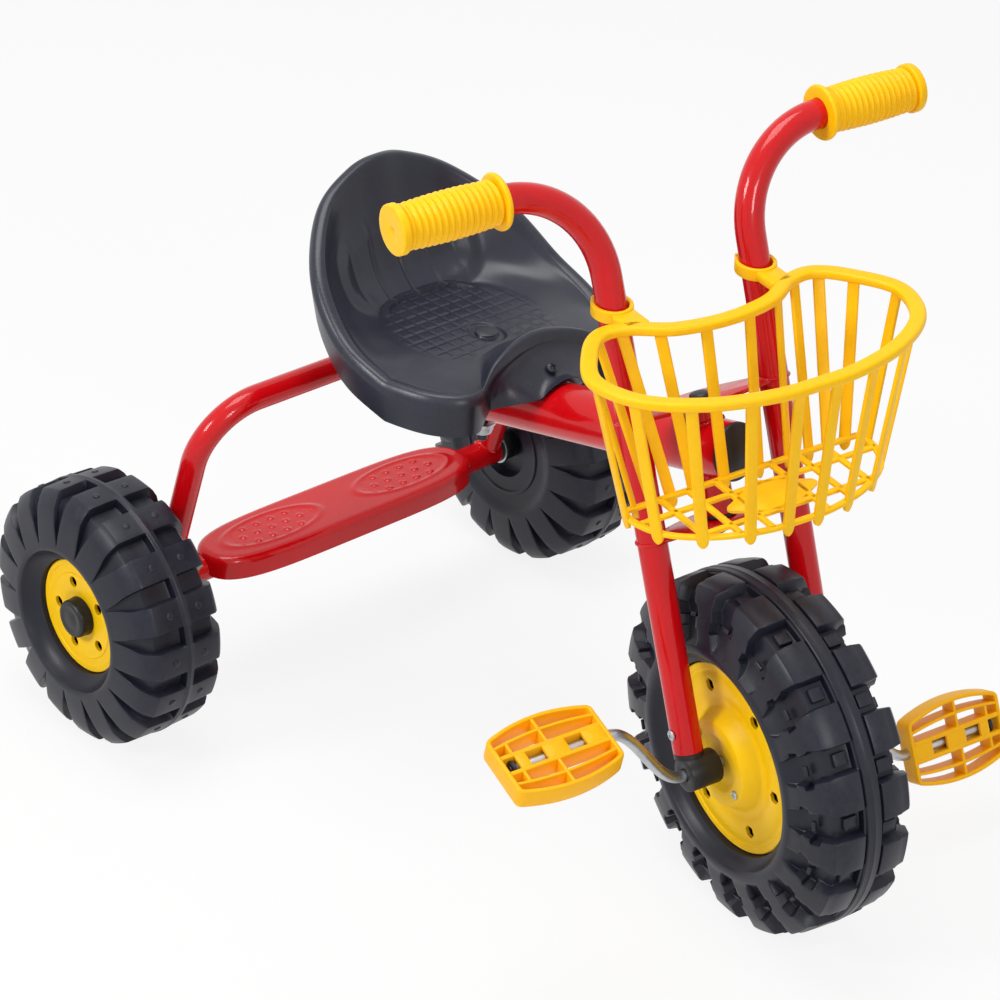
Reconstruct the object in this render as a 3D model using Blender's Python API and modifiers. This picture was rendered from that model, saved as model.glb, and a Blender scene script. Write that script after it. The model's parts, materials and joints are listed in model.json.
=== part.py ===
"""A child's metal tricycle: tube frame, steered fork, pedalled front wheel, bucket seat and basket.

Lengths are in metres. +Z is up from the ground, the rider faces -Y and has +X on the left hand. Every
place is worked out with Y measured from the rear axle and the fork straight ahead. The fork's empty then
turns it to its resting angle, and the last step slides the whole model so that the origin is the middle
of its footprint.
"""

import math
from typing import NamedTuple

import bmesh
import bpy
from mathutils import Matrix, Vector

# Clearances
GAP = 0.0003  # between pieces that touch
RUNNING_GAP = 0.0004  # round a shaft that turns
CUT_LENGTH = 0.2  # of a cutter that passes right through

# Tubes of the frame
BACKBONE_RADIUS = 0.0205
BACKBONE_WALL = 0.002
BACKBONE_SLOPE = math.radians(13.0)
BACKBONE_FRONT = 0.025  # from the steering axis to the front end
BACKBONE_REAR_Y = -0.028
CAP_RISE = 0.003  # of the plugs in the backbone's ends
CAP_SPIGOT = 0.005
STAY_RADIUS = 0.0096
STAY_BEND = 0.048
STAY_X = 0.165
STAY_TOP_Y = -0.0504
STAY_LIFT = 0.0114  # from the backbone's centre line up to the stays' top
AXLE_TUBE_RADIUS = 0.011
AXLE_TUBE_WALL = 0.0018
AXLE_TUBE_HALF = 0.172
BUSH_DEPTH = 0.012  # of a bush's sleeve inside its tube

# Rear axle and wheels
REAR_WHEEL_X = 0.218
REAR_WHEEL_RADIUS = 0.102
REAR_ROD_RADIUS = 0.005
WASHER_RADIUS = 0.0125
WASHER_THICKNESS = 0.002
HUB_CAP_RADIUS = 0.0148
HUB_CAP_LENGTH = 0.0098
HUB_CAP_FLOOR = 0.003  # the cap's closed end beyond the rod
HUB_WALL = 0.0035  # of the hub round the rod
HUB_FLANGE_RADIUS = 0.0115

# Steering
WHEELBASE = 0.469
STEER_RAKE = math.radians(17.0)
STEER_TRAIL = 0.016  # the steering axis passes this far behind the front wheel's centre
REST_STEER = math.radians(12.0)  # to the rider's right
HEAD_RISE = 0.212  # along the steering axis, from wheel height up to the backbone's centre line
HEAD_TUBE_RADIUS = 0.0120
HEAD_TUBE_WALL = 0.002
HEAD_TUBE_UP = 0.0285
HEAD_TUBE_DOWN = 0.0470
PIVOT_RADIUS = 0.004
PLATE_THICKNESS = 0.003
PLATE_HALF_WIDTH = 0.017
PLATE_END_HALF = 0.0075
PIVOT_HEAD_RADIUS = 0.0078
PIVOT_NUT_RADIUS = 0.0072
PIVOT_NUT_HEIGHT = 0.006
BUSH_FLANGE = 0.0025

# Fork and handlebar
FORK_RAKE = math.radians(19.0)
FORK_OFFSET = 0.0038  # the legs' line passes this far behind the front wheel's centre
FORK_RADIUS = 0.0105
FORK_WALL = 0.0015
LEG_X = 0.0575
LEG_FOOT = 0.0135  # the legs' lower end, along the leg from the wheel's centre
HANDLEBAR_RISE = 0.4165  # along the leg, from the wheel's centre
HANDLEBAR_BEND = 0.068
GRIP_REACH = 0.0685  # from a leg's line out to its grip
GRIP_LENGTH = 0.0795
GRIP_INNER_X = LEG_X + GRIP_REACH
GRIP_OUTER_X = GRIP_INNER_X + GRIP_LENGTH
GRIP_RADIUS = 0.0155
GRIP_END_RADIUS = 0.0172
GRIP_FLANGE_RADIUS = 0.0195
GRIP_RIBS = 15
GRIP_RIB_DEPTH = 0.0011
GRIP_FLANGE = 0.004
GRIP_END = 0.006
GRIP_FLOOR = 0.0045  # the grip's closed end beyond the tube
GRIP_VENT = 0.001

# Front wheel, crank and pedals
FRONT_WHEEL_RADIUS = 0.130
BEARING_RADIUS = 0.0125
BEARING_INNER_X = 0.0410
BEARING_OUTER_X = 0.0660
BEARING_SPIGOT = 0.042
BEARING_SCREW_RISE = 0.028  # up the leg from the wheel's centre
BEARING_SCREW_RADIUS = 0.002
CRANK_ROD_RADIUS = 0.004
CRANK_THROW = 0.068
CRANK_ANGLE = math.radians(280.0)  # of the left crank, from level and backwards, turning up
CRANK_FOOT_X = 0.083
CRANK_HEAD_X = 0.127
CRANK_BEND = 0.012
PEDAL_INNER_X = 0.137
PEDAL_LENGTH = 0.082
PEDAL_END_HALF = 0.023
PEDAL_MIDDLE_HALF = 0.031
PEDAL_THICKNESS = 0.016
PEDAL_WALL = 0.0035
PEDAL_SPINE_HALF = 0.0085
PEDAL_RIB = 0.003
PEDAL_WINDOW = (0.013, 0.0095)
PEDAL_WINDOW_X = (-0.016, 0.014)  # from the pedal's middle, outwards
PEDAL_NOTCH = (0.012, 0.0145)
PEDAL_PIN_SHORT = 0.010  # the pin ends this far inside the pedal's outer face
PEDAL_CAP_RADIUS = 0.0065
PEDAL_TURNS = {"left": math.radians(67.0), "right": math.radians(16.6)}

# Step plate
STEP_HALF_LENGTH = 0.131
STEP_HALF_WIDTH = 0.0315
STEP_Y = -0.006
STEP_RISE = 0.016  # from the rear axle up to the plate's top
STEP_TOP_Z = REAR_WHEEL_RADIUS + STEP_RISE
STEP_SKIRT = 0.018
STEP_EDGE = 0.006
STEP_SHEET = 0.0015
STEP_SIDE_POWER = 0.75  # 1 for an oval's sides, less for straighter ones
STEP_END_POWER = 0.42

# Seat
SEAT_PAN_Z = 0.330
SEAT_CENTRE_Y = -0.150
SEAT_BOLT_Y = -0.168
SEAT_SHELL = 0.003
SEAT_LIP = 0.009
SEAT_WELL = 0.0015  # the flat pan lies this far below the walls' foot
SEAT_SKIRT = 0.030
SEAT_APRON = 0.034  # how far the front skirt reaches forward over the backbone
SEAT_APRON_HALF = 0.045
SEAT_SCREW_Y = -0.2366
SEAT_SCREW_RADIUS = 0.0018
SEAT_SCREW_LENGTH = 0.007
SEAT_BOLT_RADIUS = 0.004
SEAT_BOLT_HEAD_RADIUS = 0.0085
SEAT_WASHER_RADIUS = 0.0095
SEAT_NUT_RADIUS = 0.0082
SEAT_NUT_HEIGHT = 0.0065
SADDLE_WIDTH = 0.030
SADDLE_LENGTH = 0.044
SADDLE_GRIP = 0.012  # how far the saddle's cheeks reach down the backbone

# Basket
BASKET_RIM_Z = 0.4396
BASKET_DEPTH = 0.107
BASKET_MIDDLE_Y = -0.102  # from the fork tubes' line
BASKET_BACK_Y = -0.074  # the floor's back edge
BASKET_RIM_HALF = 0.005
BASKET_RIM_HEIGHT = 0.006
BASKET_SLAT_WIDTH = 0.0075
BASKET_SLAT_THICKNESS = 0.003
BASKET_SLATS = 20
BASKET_FEET = 0.008
BASKET_FLOOR = 0.003
BASKET_TAPER = 0.80
BASKET_CLIP_WALL = 0.003
BASKET_CLIP_MOUTH = 0.012
BASKET_BRIDGE = (0.020, 0.024)  # joins a clip to the rim
BASKET_WINDOW_WIDTH = 0.025
BASKET_WINDOW_PITCH = 0.033
BASKET_WINDOW_ROWS = (  # the floor's openings: front and back edge of each row, and its columns
    ((-0.136, -0.114), (-1, 0, 1)),
    ((-0.109, -0.081), (-2, -1, 0, 1, 2)),
)

# Tyres and wheel discs
CROWN_HALF = 0.003
LUG_DROP = 0.0015  # from the crown down to the lugs' outer edges
LUG_HALF_SHARE = 0.30  # of the pitch from lug to lug
GROOVE_STEP = 0.0045  # a groove's flank lies this far inside the lugs' ends
SHOULDER_SHARE = 0.62  # of the way from the lip to the tread
SHOULDER_STEP = 0.0035
TYRE_WALL = 0.003
DISC_THICKNESS = 0.0025
DISC_SEAT_WIDTH = 0.006
REAR_DISC_HOLES = (5, 0.0269, 0.0043)  # how many, on what radius, of what radius
FRONT_DISC_HOLES = (6, 0.0533, 0.0047)
FRONT_BOSS_X = 0.040
DISC_SCREW_CIRCLE = 0.026
DISC_SCREW_RADIUS = 0.0014
DISC_SCREW_TURNS = (math.pi / 6, 7 * math.pi / 6)

SIDES = {"left": 1, "right": -1}
TURN_STEPS = 20
SMALL_STEPS = 12

COLOURS = {
    "red paint": ((0.60, 0.008, 0.012), 0.22, 0.0),
    "dark plastic": ((0.045, 0.047, 0.062), 0.45, 0.0),
    "black plastic": ((0.012, 0.010, 0.010), 0.40, 0.0),
    "yellow plastic": ((1.0, 0.62, 0.010), 0.35, 0.0),
    "amber plastic": ((1.0, 0.47, 0.008), 0.35, 0.0),
    "zinc steel": ((0.62, 0.62, 0.62), 0.30, 1.0),
}


class Tyre(NamedTuple):
    """The sizes of a moulded wheel's tread and of its recess for the disc."""

    radius: float
    half_width: float
    tread_half: float
    lip_radius: float
    disc_radius: float
    disc_x: float
    dish_x: float
    groove: float
    lugs: int
    phase: float
    stagger: float


REAR_TYRE = Tyre(
    radius=REAR_WHEEL_RADIUS, half_width=0.040, tread_half=0.0300, lip_radius=0.0565,
    disc_radius=0.0447, disc_x=0.0251, dish_x=0.037, groove=0.0085, lugs=17,
    phase=math.radians(-3.5), stagger=0.0,
)
FRONT_TYRE = Tyre(
    radius=FRONT_WHEEL_RADIUS, half_width=0.0410, tread_half=0.0305, lip_radius=0.0800,
    disc_radius=0.0697, disc_x=0.0282, dish_x=0.0282, groove=0.0090, lugs=17,
    phase=0.0, stagger=math.radians(6.5),
)

HUB_FLOOR_X = 0.009 - REAR_TYRE.dish_x  # the pocket's floor on a rear wheel's inner side

# The seat's rim, from the middle of the front round the rider's left side to the middle of the back
SEAT_RIM = [
    (0.000, -0.212, 0.347),
    (0.039, -0.219, 0.339),
    (0.068, -0.228, 0.319),
    (0.090, -0.208, 0.316),
    (0.101, -0.166, 0.330),
    (0.101, -0.130, 0.344),
    (0.090, -0.092, 0.374),
    (0.059, -0.059, 0.403),
    (0.025, -0.048, 0.419),
    (0.000, -0.048, 0.424),
]

# The seat's rows from the pan out to the skirt: share of the way to the rim, share of the rim's
# height, then how far outside and below the rim, and how far the apron reaches forward
SEAT_ROWS = [
    (0.30, 0.00, 0.0, 0.0, 0.0),
    (0.62, 0.00, 0.0, 0.0, 0.0),
    (0.80, 0.22, 0.0, -SEAT_WELL, 0.0),
    (0.93, 0.72, 0.0, -0.5 * SEAT_WELL, 0.0),
    (1.00, 1.00, 0.0, 0.0, 0.0),
    (1.00, 1.00, SEAT_LIP * 0.6, 0.001, 0.0),
    (1.00, 1.00, SEAT_LIP, 0.007, 0.0),
    (1.00, 1.00, SEAT_LIP - 0.003, SEAT_SKIRT, SEAT_APRON),
]

# The basket's rim line in its own plane, from the middle of the back round to the middle of the front.
# Y is from the fork tubes' line
BASKET_RIM = [
    (0.000, -0.052),
    (0.037, -0.046),
    (0.063, -0.030),
    (0.085, -0.028),
    (0.104, -0.046),
    (0.120, -0.078),
    (0.108, -0.114),
    (0.075, -0.139),
    (0.034, -0.152),
    (0.000, -0.154),
]


def clear_scene():
    """Removes what the scene starts with."""
    for obj in list(bpy.data.objects):
        bpy.data.objects.remove(obj, do_unlink=True)


def collection(name):
    """Returns a new collection linked to the scene."""
    made = bpy.data.collections.new(name)
    bpy.context.scene.collection.children.link(made)
    return made


def material(name):
    """Returns a plain surface of one of the part's colours."""
    colour, roughness, metallic = COLOURS[name]
    made = bpy.data.materials.new(name)
    made.use_nodes = True
    surface = made.node_tree.nodes["Principled BSDF"]
    surface.inputs["Base Color"].default_value = (*colour, 1.0)
    surface.inputs["Roughness"].default_value = roughness
    surface.inputs["Metallic"].default_value = metallic
    return made


clear_scene()
PARTS = collection("tricycle")
CUTTERS = collection("cutters")


def place(obj, parent, location=(0, 0, 0), along=None):
    """Parents an object and, if along is given, turns its own Z to that direction."""
    obj.parent = parent
    obj.location = location
    if along is not None:
        obj.rotation_euler = Vector(along).to_track_quat("Z", "Y").to_euler()
    return obj


def add(name, mesh, colour, parent, location=(0, 0, 0), along=None):
    """Adds a mesh as a sub-part with its own material, or as a cutter when colour is None."""
    obj = bpy.data.objects.new(name, mesh)
    if colour is None:
        CUTTERS.objects.link(obj)
        obj.hide_render = True
        obj.display_type = "WIRE"
    else:
        PARTS.objects.link(obj)
        mesh.materials.clear()
        mesh.materials.append(material(colour))
    return place(obj, parent, location, along)


def empty(name, parent, location, rotation=None):
    """Adds an empty that carries a body of the part."""
    obj = bpy.data.objects.new(name, None)
    PARTS.objects.link(obj)
    obj.parent = parent
    obj.location = location
    if rotation is not None:
        obj.rotation_euler = rotation
    return obj


def mesh_from(bm, name):
    """Writes a bmesh to a new mesh with its faces turned outwards."""
    bmesh.ops.recalc_face_normals(bm, faces=bm.faces)
    mesh = bpy.data.meshes.new(name)
    bm.to_mesh(mesh)
    bm.free()
    mesh.shade_smooth()
    mesh.set_sharp_from_angle(angle=math.radians(35))
    return mesh


def turned(name, profile, colour, parent, location=(0, 0, 0), along=(0, 0, 1), steps=SMALL_STEPS):
    """Turns a profile of (radius, height) points about an axis. One off the axis closes on itself."""
    area = sum(a[0] * b[1] - b[0] * a[1] for a, b in zip(profile, profile[1:] + profile[:1]))
    points = list(reversed(profile)) if area > 0 else list(profile)
    if min(r for r, _ in points) <= 0:
        while points[0][0] > 0 or points[-1][0] > 0:
            points = points[1:] + points[:1]
    edges = [(i, i + 1) for i in range(len(points) - 1)]
    if points[0][0] > 0:
        edges.append((len(points) - 1, 0))
    mesh = bpy.data.meshes.new(name)
    mesh.from_pydata([(r, 0, h) for r, h in points], edges, [])
    obj = add(name, mesh, colour, parent, location, along)
    screw = obj.modifiers.new("turn", "SCREW")
    screw.steps = screw.render_steps = steps
    screw.use_merge_vertices = True
    screw.merge_threshold = 0.00001
    screw.use_smooth_shade = False
    return obj


def bore_round(radius, steps=SMALL_STEPS, gap=GAP):
    """The radius of a hole's corners, so that the middles of its flats clear a shaft by the gap."""
    return (radius + gap) / math.cos(math.pi / steps)


def ring(inner, outer, low, high):
    """The profile of a plain sleeve."""
    return [(inner, high), (outer, high), (outer, low), (inner, low)]


def screw_profile(shank, head, rise, length):
    """The profile of a round-headed screw whose head rests at height 0."""
    return [(0, rise), (0.68 * head, 0.8 * rise), (head, 0), (shank, 0), (shank, -length), (0, -length)]


def cylinder(name, radius, length, colour, parent, location=(0, 0, 0), along=(0, 0, 1), sides=16):
    """Adds a cylinder centred on its location."""
    bm = bmesh.new()
    bmesh.ops.create_cone(
        bm, cap_ends=True, segments=sides, radius1=radius, radius2=radius, depth=length
    )
    return add(name, mesh_from(bm, name), colour, parent, location, along)


def box(name, size, colour, parent, location=(0, 0, 0)):
    """Adds a box centred on its location."""
    bm = bmesh.new()
    bmesh.ops.create_cube(bm, size=1.0)
    bmesh.ops.scale(bm, vec=Vector(size), verts=bm.verts)
    return add(name, mesh_from(bm, name), colour, parent, location)


def combine(obj, other, operation="DIFFERENCE", solver="EXACT"):
    """Cuts another object out of this one, or joins it on."""
    boolean = obj.modifiers.new(operation.lower(), "BOOLEAN")
    boolean.operation = operation
    boolean.object = other
    boolean.solver = solver
    return obj


def filleted(corners, radius, steps=6):
    """Rounds the inner corners of a path with arcs, and returns its points."""
    points = [Vector(corners[0])]
    for before, corner, after in zip(corners, corners[1:], corners[2:]):
        corner = Vector(corner)
        back = (Vector(before) - corner).normalized()
        ahead = (Vector(after) - corner).normalized()
        half = back.angle(ahead) / 2
        centre = corner + (back + ahead).normalized() * radius / math.sin(half)
        start = corner + back * radius / math.tan(half)
        turn = (start - centre).cross(corner + ahead * radius / math.tan(half) - centre).normalized()
        sweep = math.pi - 2 * half
        for step in range(steps + 1):
            points.append(centre + Matrix.Rotation(sweep * step / steps, 3, turn) @ (start - centre))
    points.append(Vector(corners[-1]))
    return points


def tube(name, points, radius, colour, parent, resolution=4):
    """Sweeps a round tube along points, as a mesh with welded ends."""
    curve = bpy.data.curves.new(name, "CURVE")
    curve.dimensions = "3D"
    curve.bevel_depth = radius
    curve.bevel_resolution = resolution
    curve.use_fill_caps = True
    spline = curve.splines.new("POLY")
    spline.points.add(len(points) - 1)
    for target, point in zip(spline.points, points):
        target.co = (*point, 1.0)
    return from_curve(name, curve, colour, parent)


def from_curve(name, curve, colour, parent, location=(0, 0, 0), rotation=None):
    """Makes a curve a closed mesh with its caps welded."""
    drawn = bpy.data.objects.new(name, curve)
    CUTTERS.objects.link(drawn)
    bpy.context.view_layer.update()
    mesh = bpy.data.meshes.new_from_object(drawn.evaluated_get(bpy.context.evaluated_depsgraph_get()))
    bpy.data.objects.remove(drawn, do_unlink=True)
    bm = bmesh.new()
    bm.from_mesh(mesh)
    bmesh.ops.remove_doubles(bm, verts=bm.verts, dist=0.000005)
    obj = add(name, mesh_from(bm, name), colour, parent, location)
    if rotation is not None:
        obj.rotation_euler = rotation
    return obj


def slab(name, outlines, thickness, colour, parent, location=(0, 0, 0), rotation=None):
    """Adds a flat plate in its own XY plane. Outlines after the first are holes in it."""
    curve = bpy.data.curves.new(name, "CURVE")
    curve.dimensions = "2D"
    curve.fill_mode = "BOTH"
    curve.extrude = thickness / 2
    for outline in outlines:
        spline = curve.splines.new("POLY")
        spline.points.add(len(outline) - 1)
        for target, (x, y) in zip(spline.points, outline):
            target.co = (x, y, 0.0, 1.0)
        spline.use_cyclic_u = True
    return from_curve(name, curve, colour, parent, location, rotation)


def circle(radius, sides=16):
    """Points round a circle."""
    turns = [2 * math.pi * step / sides for step in range(sides)]
    return [(radius * math.cos(turn), radius * math.sin(turn)) for turn in turns]


def loft(name, rings, colour, parent, closed_ends=False):
    """Skins rings of equally many points. The last ring joins the first unless the ends are closed."""
    bm = bmesh.new()
    rows = [[bm.verts.new(point) for point in row] for row in rings]
    count = len(rows[0])
    pairs = list(zip(rows, rows[1:])) + ([] if closed_ends else [(rows[-1], rows[0])])
    for first, second in pairs:
        for i in range(count):
            j = (i + 1) % count
            bm.faces.new((first[i], first[j], second[j], second[i]))
    if closed_ends:
        bm.faces.new(rows[0])
        bm.faces.new(rows[-1])
    return add(name, mesh_from(bm, name), colour, parent)


def smooth_closed(half, samples):
    """Mirrors half an outline in X and returns points of a smooth closed curve through it."""
    points = [Vector(p) for p in half]
    mirror = [Vector((-p[0], *p[1:])) for p in half[-2:0:-1]]
    knots = points + mirror
    count = len(knots)
    spans = samples // count
    smooth = []
    for i in range(count):
        a, b, c, d = (knots[(i + k) % count] for k in (-1, 0, 1, 2))
        for step in range(spans):
            t = step / spans
            smooth.append(
                0.5 * (2 * b + (c - a) * t + (2 * a - 5 * b + 4 * c - d) * t**2
                       + (3 * b - a - 3 * c + d) * t**3)
            )
    return smooth


# Directions and places that several pieces share

STEER_AXIS = Vector((0, math.sin(STEER_RAKE), math.cos(STEER_RAKE)))
LEG_AXIS = Vector((0, math.sin(FORK_RAKE), math.cos(FORK_RAKE)))
SEAT_SCREW_AXIS = Vector((0, -0.6, 0.8))
BACKBONE_AXIS = Vector((0, -math.cos(BACKBONE_SLOPE), math.sin(BACKBONE_SLOPE)))


def front_axle_height():
    """The height at which the turned and leaning front wheel just touches the ground."""
    turn = Matrix.Rotation(-REST_STEER, 3, STEER_AXIS)
    axle = turn @ Vector((1, 0, 0))
    slope = math.sqrt(1 - axle.z**2)
    edges = ((FRONT_TYRE.radius, 0.0), (FRONT_TYRE.radius - LUG_DROP, FRONT_TYRE.tread_half))
    drop = max(radius * slope + half * abs(axle.z) for radius, half in edges)
    trail = turn @ Vector((0, -STEER_TRAIL, 0))
    return drop - trail.z


FRONT_AXLE_Z = front_axle_height()
FRONT_AXLE = Vector((0, -WHEELBASE, FRONT_AXLE_Z))
STEER_FOOT = Vector((0, STEER_TRAIL - WHEELBASE, FRONT_AXLE_Z))
HEAD = STEER_FOOT + STEER_AXIS * HEAD_RISE
REAR_AXLE_Z = REAR_WHEEL_RADIUS
PLATE_UPPER = HEAD_TUBE_UP + BUSH_FLANGE + PLATE_THICKNESS / 2 + 2 * GAP
PLATE_LOWER = -(HEAD_TUBE_DOWN + BUSH_FLANGE + PLATE_THICKNESS / 2 + 2 * GAP)


def backbone_point(y):
    """The point of the backbone's centre line at this Y."""
    return HEAD + BACKBONE_AXIS * ((y - HEAD.y) / BACKBONE_AXIS.y)


def leg_point(side, rise):
    """The point of a fork tube's leg this far along it from the wheel's centre."""
    foot = Vector((side * LEG_X, FRONT_AXLE.y + FORK_OFFSET, FRONT_AXLE_Z))
    return foot + LEG_AXIS * rise


def backbone(parent):
    """The large tube and the head tube welded across it, with the seat bolt's hole."""
    front = HEAD + BACKBONE_AXIS * BACKBONE_FRONT
    rear = backbone_point(BACKBONE_REAR_Y)
    middle = (front + rear) / 2
    length = (front - rear).length
    obj = cylinder(
        "backbone", BACKBONE_RADIUS, length, "red paint", parent, middle, BACKBONE_AXIS, TURN_STEPS
    )
    head = cylinder(
        "head_tube", HEAD_TUBE_RADIUS, HEAD_TUBE_UP + HEAD_TUBE_DOWN, None, parent,
        HEAD + STEER_AXIS * (HEAD_TUBE_UP - HEAD_TUBE_DOWN) / 2, STEER_AXIS,
    )
    inside = cylinder(
        "backbone_inside", BACKBONE_RADIUS - BACKBONE_WALL, length + 0.02, None, parent, middle,
        BACKBONE_AXIS,
    )
    bore = cylinder(
        "head_bore", HEAD_TUBE_RADIUS - HEAD_TUBE_WALL, CUT_LENGTH, None, parent, HEAD, STEER_AXIS
    )
    bolt_hole = cylinder(
        "seat_bolt_hole", SEAT_BOLT_RADIUS + GAP, 4 * BACKBONE_RADIUS, None, parent,
        backbone_point(SEAT_BOLT_Y),
    )
    combine(obj, inside)
    combine(obj, head, "UNION")
    combine(obj, bore)
    combine(obj, bolt_hole)
    for name, end, outward in (
        ("backbone_front_cap", front, BACKBONE_AXIS), ("backbone_rear_cap", rear, -BACKBONE_AXIS)
    ):
        spigot = BACKBONE_RADIUS - BACKBONE_WALL - 2 * GAP
        profile = [
            (0, CAP_RISE), (BACKBONE_RADIUS - CAP_RISE, CAP_RISE), (BACKBONE_RADIUS, 0.4 * CAP_RISE),
            (BACKBONE_RADIUS, GAP), (spigot, GAP), (spigot, -CAP_SPIGOT), (0, -CAP_SPIGOT),
        ]
        turned(name, profile, "black plastic", parent, end, outward)
    return obj


def stay(name, side, parent):
    """One bent tube from the backbone's flank down to the axle tube, its ends shaped to both."""
    top = Vector((0, STAY_TOP_Y, backbone_point(STAY_TOP_Y).z + STAY_LIFT))
    corners = [(side * STAY_X, 0, REAR_AXLE_Z), (side * STAY_X, top.y, top.z), top]
    obj = tube(name, filleted(corners, STAY_BEND, 8), STAY_RADIUS, "red paint", parent)
    around_backbone = cylinder(
        name + "_backbone_cut", BACKBONE_RADIUS + GAP, CUT_LENGTH, None, parent,
        backbone_point(STAY_TOP_Y), BACKBONE_AXIS, TURN_STEPS,
    )
    around_axle = cylinder(
        name + "_axle_cut", AXLE_TUBE_RADIUS + GAP, 0.1, None, parent,
        (side * STAY_X, 0, REAR_AXLE_Z), (1, 0, 0), TURN_STEPS,
    )
    block = 0.1
    below = box(
        name + "_end_cut", (block, block, block), None, parent,
        (side * STAY_X, 0, REAR_AXLE_Z - block / 2),
    )
    beyond = box(
        name + "_middle_cut", (block, block, block), None, parent, (-side * block / 2, top.y, top.z)
    )
    for cutter in (around_backbone, around_axle, below, beyond):
        combine(obj, cutter)
    return obj


def rear_axle_parts(parent):
    """The cross tube, its bushes, the rod through them and the washers."""
    centre = (0, 0, REAR_AXLE_Z)
    inner = AXLE_TUBE_RADIUS - AXLE_TUBE_WALL
    turned(
        "axle_tube", ring(inner, AXLE_TUBE_RADIUS, -AXLE_TUBE_HALF, AXLE_TUBE_HALF), "red paint",
        parent, centre, (1, 0, 0),
    )
    end = REAR_WHEEL_X + REAR_TYRE.disc_x + HUB_CAP_LENGTH - HUB_CAP_FLOOR
    cylinder("rear_axle", REAR_ROD_RADIUS, 2 * end, "zinc steel", parent, centre, (1, 0, 0))
    bore = bore_round(REAR_ROD_RADIUS)
    for side_name, side in SIDES.items():
        bush = [
            (bore, -BUSH_DEPTH), (bore, BUSH_FLANGE), (AXLE_TUBE_RADIUS, BUSH_FLANGE),
            (AXLE_TUBE_RADIUS, GAP), (inner - GAP, GAP), (inner - GAP, -BUSH_DEPTH),
        ]
        turned(
            "axle_bush_" + side_name, bush, "black plastic", parent,
            (side * AXLE_TUBE_HALF, 0, REAR_AXLE_Z), (side, 0, 0),
        )
        start = AXLE_TUBE_HALF + BUSH_FLANGE + GAP
        turned(
            "rear_washer_" + side_name, ring(bore, WASHER_RADIUS, 0, WASHER_THICKNESS), "zinc steel",
            parent, (side * start, 0, REAR_AXLE_Z), (side, 0, 0),
        )


def tyre_section(spec, raised):
    """One section of a moulded wheel as (distance along the axle, radius), through a lug or a groove."""
    floor = spec.radius - spec.groove
    shoulder = spec.lip_radius + SHOULDER_SHARE * (spec.radius - spec.lip_radius)
    shoulder_x = spec.half_width - SHOULDER_STEP
    if raised:
        half = [(spec.tread_half, spec.radius - LUG_DROP), (shoulder_x, shoulder)]
    else:
        half = [(spec.tread_half - GROOVE_STEP, floor), (shoulder_x - GROOVE_STEP, shoulder - 0.002)]
    flank = [(CROWN_HALF, spec.radius)] + half + [(spec.half_width, spec.lip_radius)]
    inside = [
        (shoulder_x - GROOVE_STEP + 0.001, spec.lip_radius + 0.002),
        (spec.tread_half - 2 * GROOVE_STEP, floor - TYRE_WALL),
    ]
    return flank, inside


def tyre(name, spec, parent, outward, both_sides_open):
    """A hollow moulded wheel, open to its disc on one side or on both, lofted through its lugs."""
    pitch = 2 * math.pi / spec.lugs
    seat_x = spec.disc_x - DISC_THICKNESS - GAP
    seat_radius = (spec.disc_radius + GAP) / math.cos(pitch * LUG_HALF_SHARE)
    mouth = spec.disc_radius - DISC_SEAT_WIDTH

    def recess(sign):
        """The sides of the opening down to the disc's seat, and the seat's thickness."""
        return [
            (sign * (spec.half_width - SHOULDER_STEP), spec.lip_radius - 0.002),
            (sign * (spec.disc_x + 0.001), seat_radius + 0.0005),
            (sign * seat_x, seat_radius),
            (sign * seat_x, mouth),
            (sign * (seat_x - TYRE_WALL), mouth),
            (sign * (seat_x - TYRE_WALL), seat_radius + 0.001),
        ]

    def closed_hub():
        """The dished wall of the inner side, with a pocket round the hub's hole."""
        dish, hole = -spec.dish_x, REAR_ROD_RADIUS + HUB_WALL
        return [
            (dish, spec.lip_radius - 0.006), (dish, 0.0265), (HUB_FLOOR_X, 0.0245), (HUB_FLOOR_X, hole),
            (HUB_FLOOR_X + TYRE_WALL, hole), (HUB_FLOOR_X + TYRE_WALL, 0.0275),
        ]

    rings = []
    for lug in range(spec.lugs):
        for part, raised in ((-LUG_HALF_SHARE, True), (LUG_HALF_SHARE, True), (0.5, False)):
            flank, inside = tyre_section(spec, raised)
            section = [(x, r, 1) for x, r in flank]
            section += [(x, r, 0) for x, r in recess(1)]
            section += [(x, r, 0) for x, r in inside]
            section += [(-x, r, 0) for x, r in reversed(inside)]
            if both_sides_open:
                section += [(x, r, 0) for x, r in reversed(recess(-1))]
            else:
                section += [(x, r, 0) for x, r in reversed(closed_hub())]
            section += [(-x, r, -1) for x, r in reversed(flank)]
            row = []
            for x, r, row_side in section:
                turn = spec.phase + pitch * (lug + part) + row_side * spec.stagger / 2
                row.append((r * math.cos(turn), r * math.sin(turn), x))
            rings.append(row)
    obj = loft(name, rings, "dark plastic", parent)
    obj.rotation_euler = (0, outward * math.pi / 2, 0)
    return obj


def wheel_disc(name, profile, parent, side, holes, screw_turns=()):
    """A turned disc with a ring of six-sided holes, and holes for its screws."""
    obj = turned(name, profile, "yellow plastic", parent, (0, 0, 0), (side, 0, 0), TURN_STEPS)
    count, hole_circle, hole_radius = holes
    centres = [(hole_circle, 2 * math.pi * i / count, hole_radius) for i in range(count)]
    screw_hole = bore_round(DISC_SCREW_RADIUS, 6)
    centres += [(DISC_SCREW_CIRCLE, turn, screw_hole) for turn in screw_turns]
    for index, (radius, turn, size) in enumerate(centres):
        cutter = cylinder(
            f"{name}_hole_{index}", size, CUT_LENGTH, None, parent,
            (0, radius * math.cos(turn), radius * math.sin(turn)), (1, 0, 0), 6,
        )
        combine(obj, cutter)
    return obj


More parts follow.
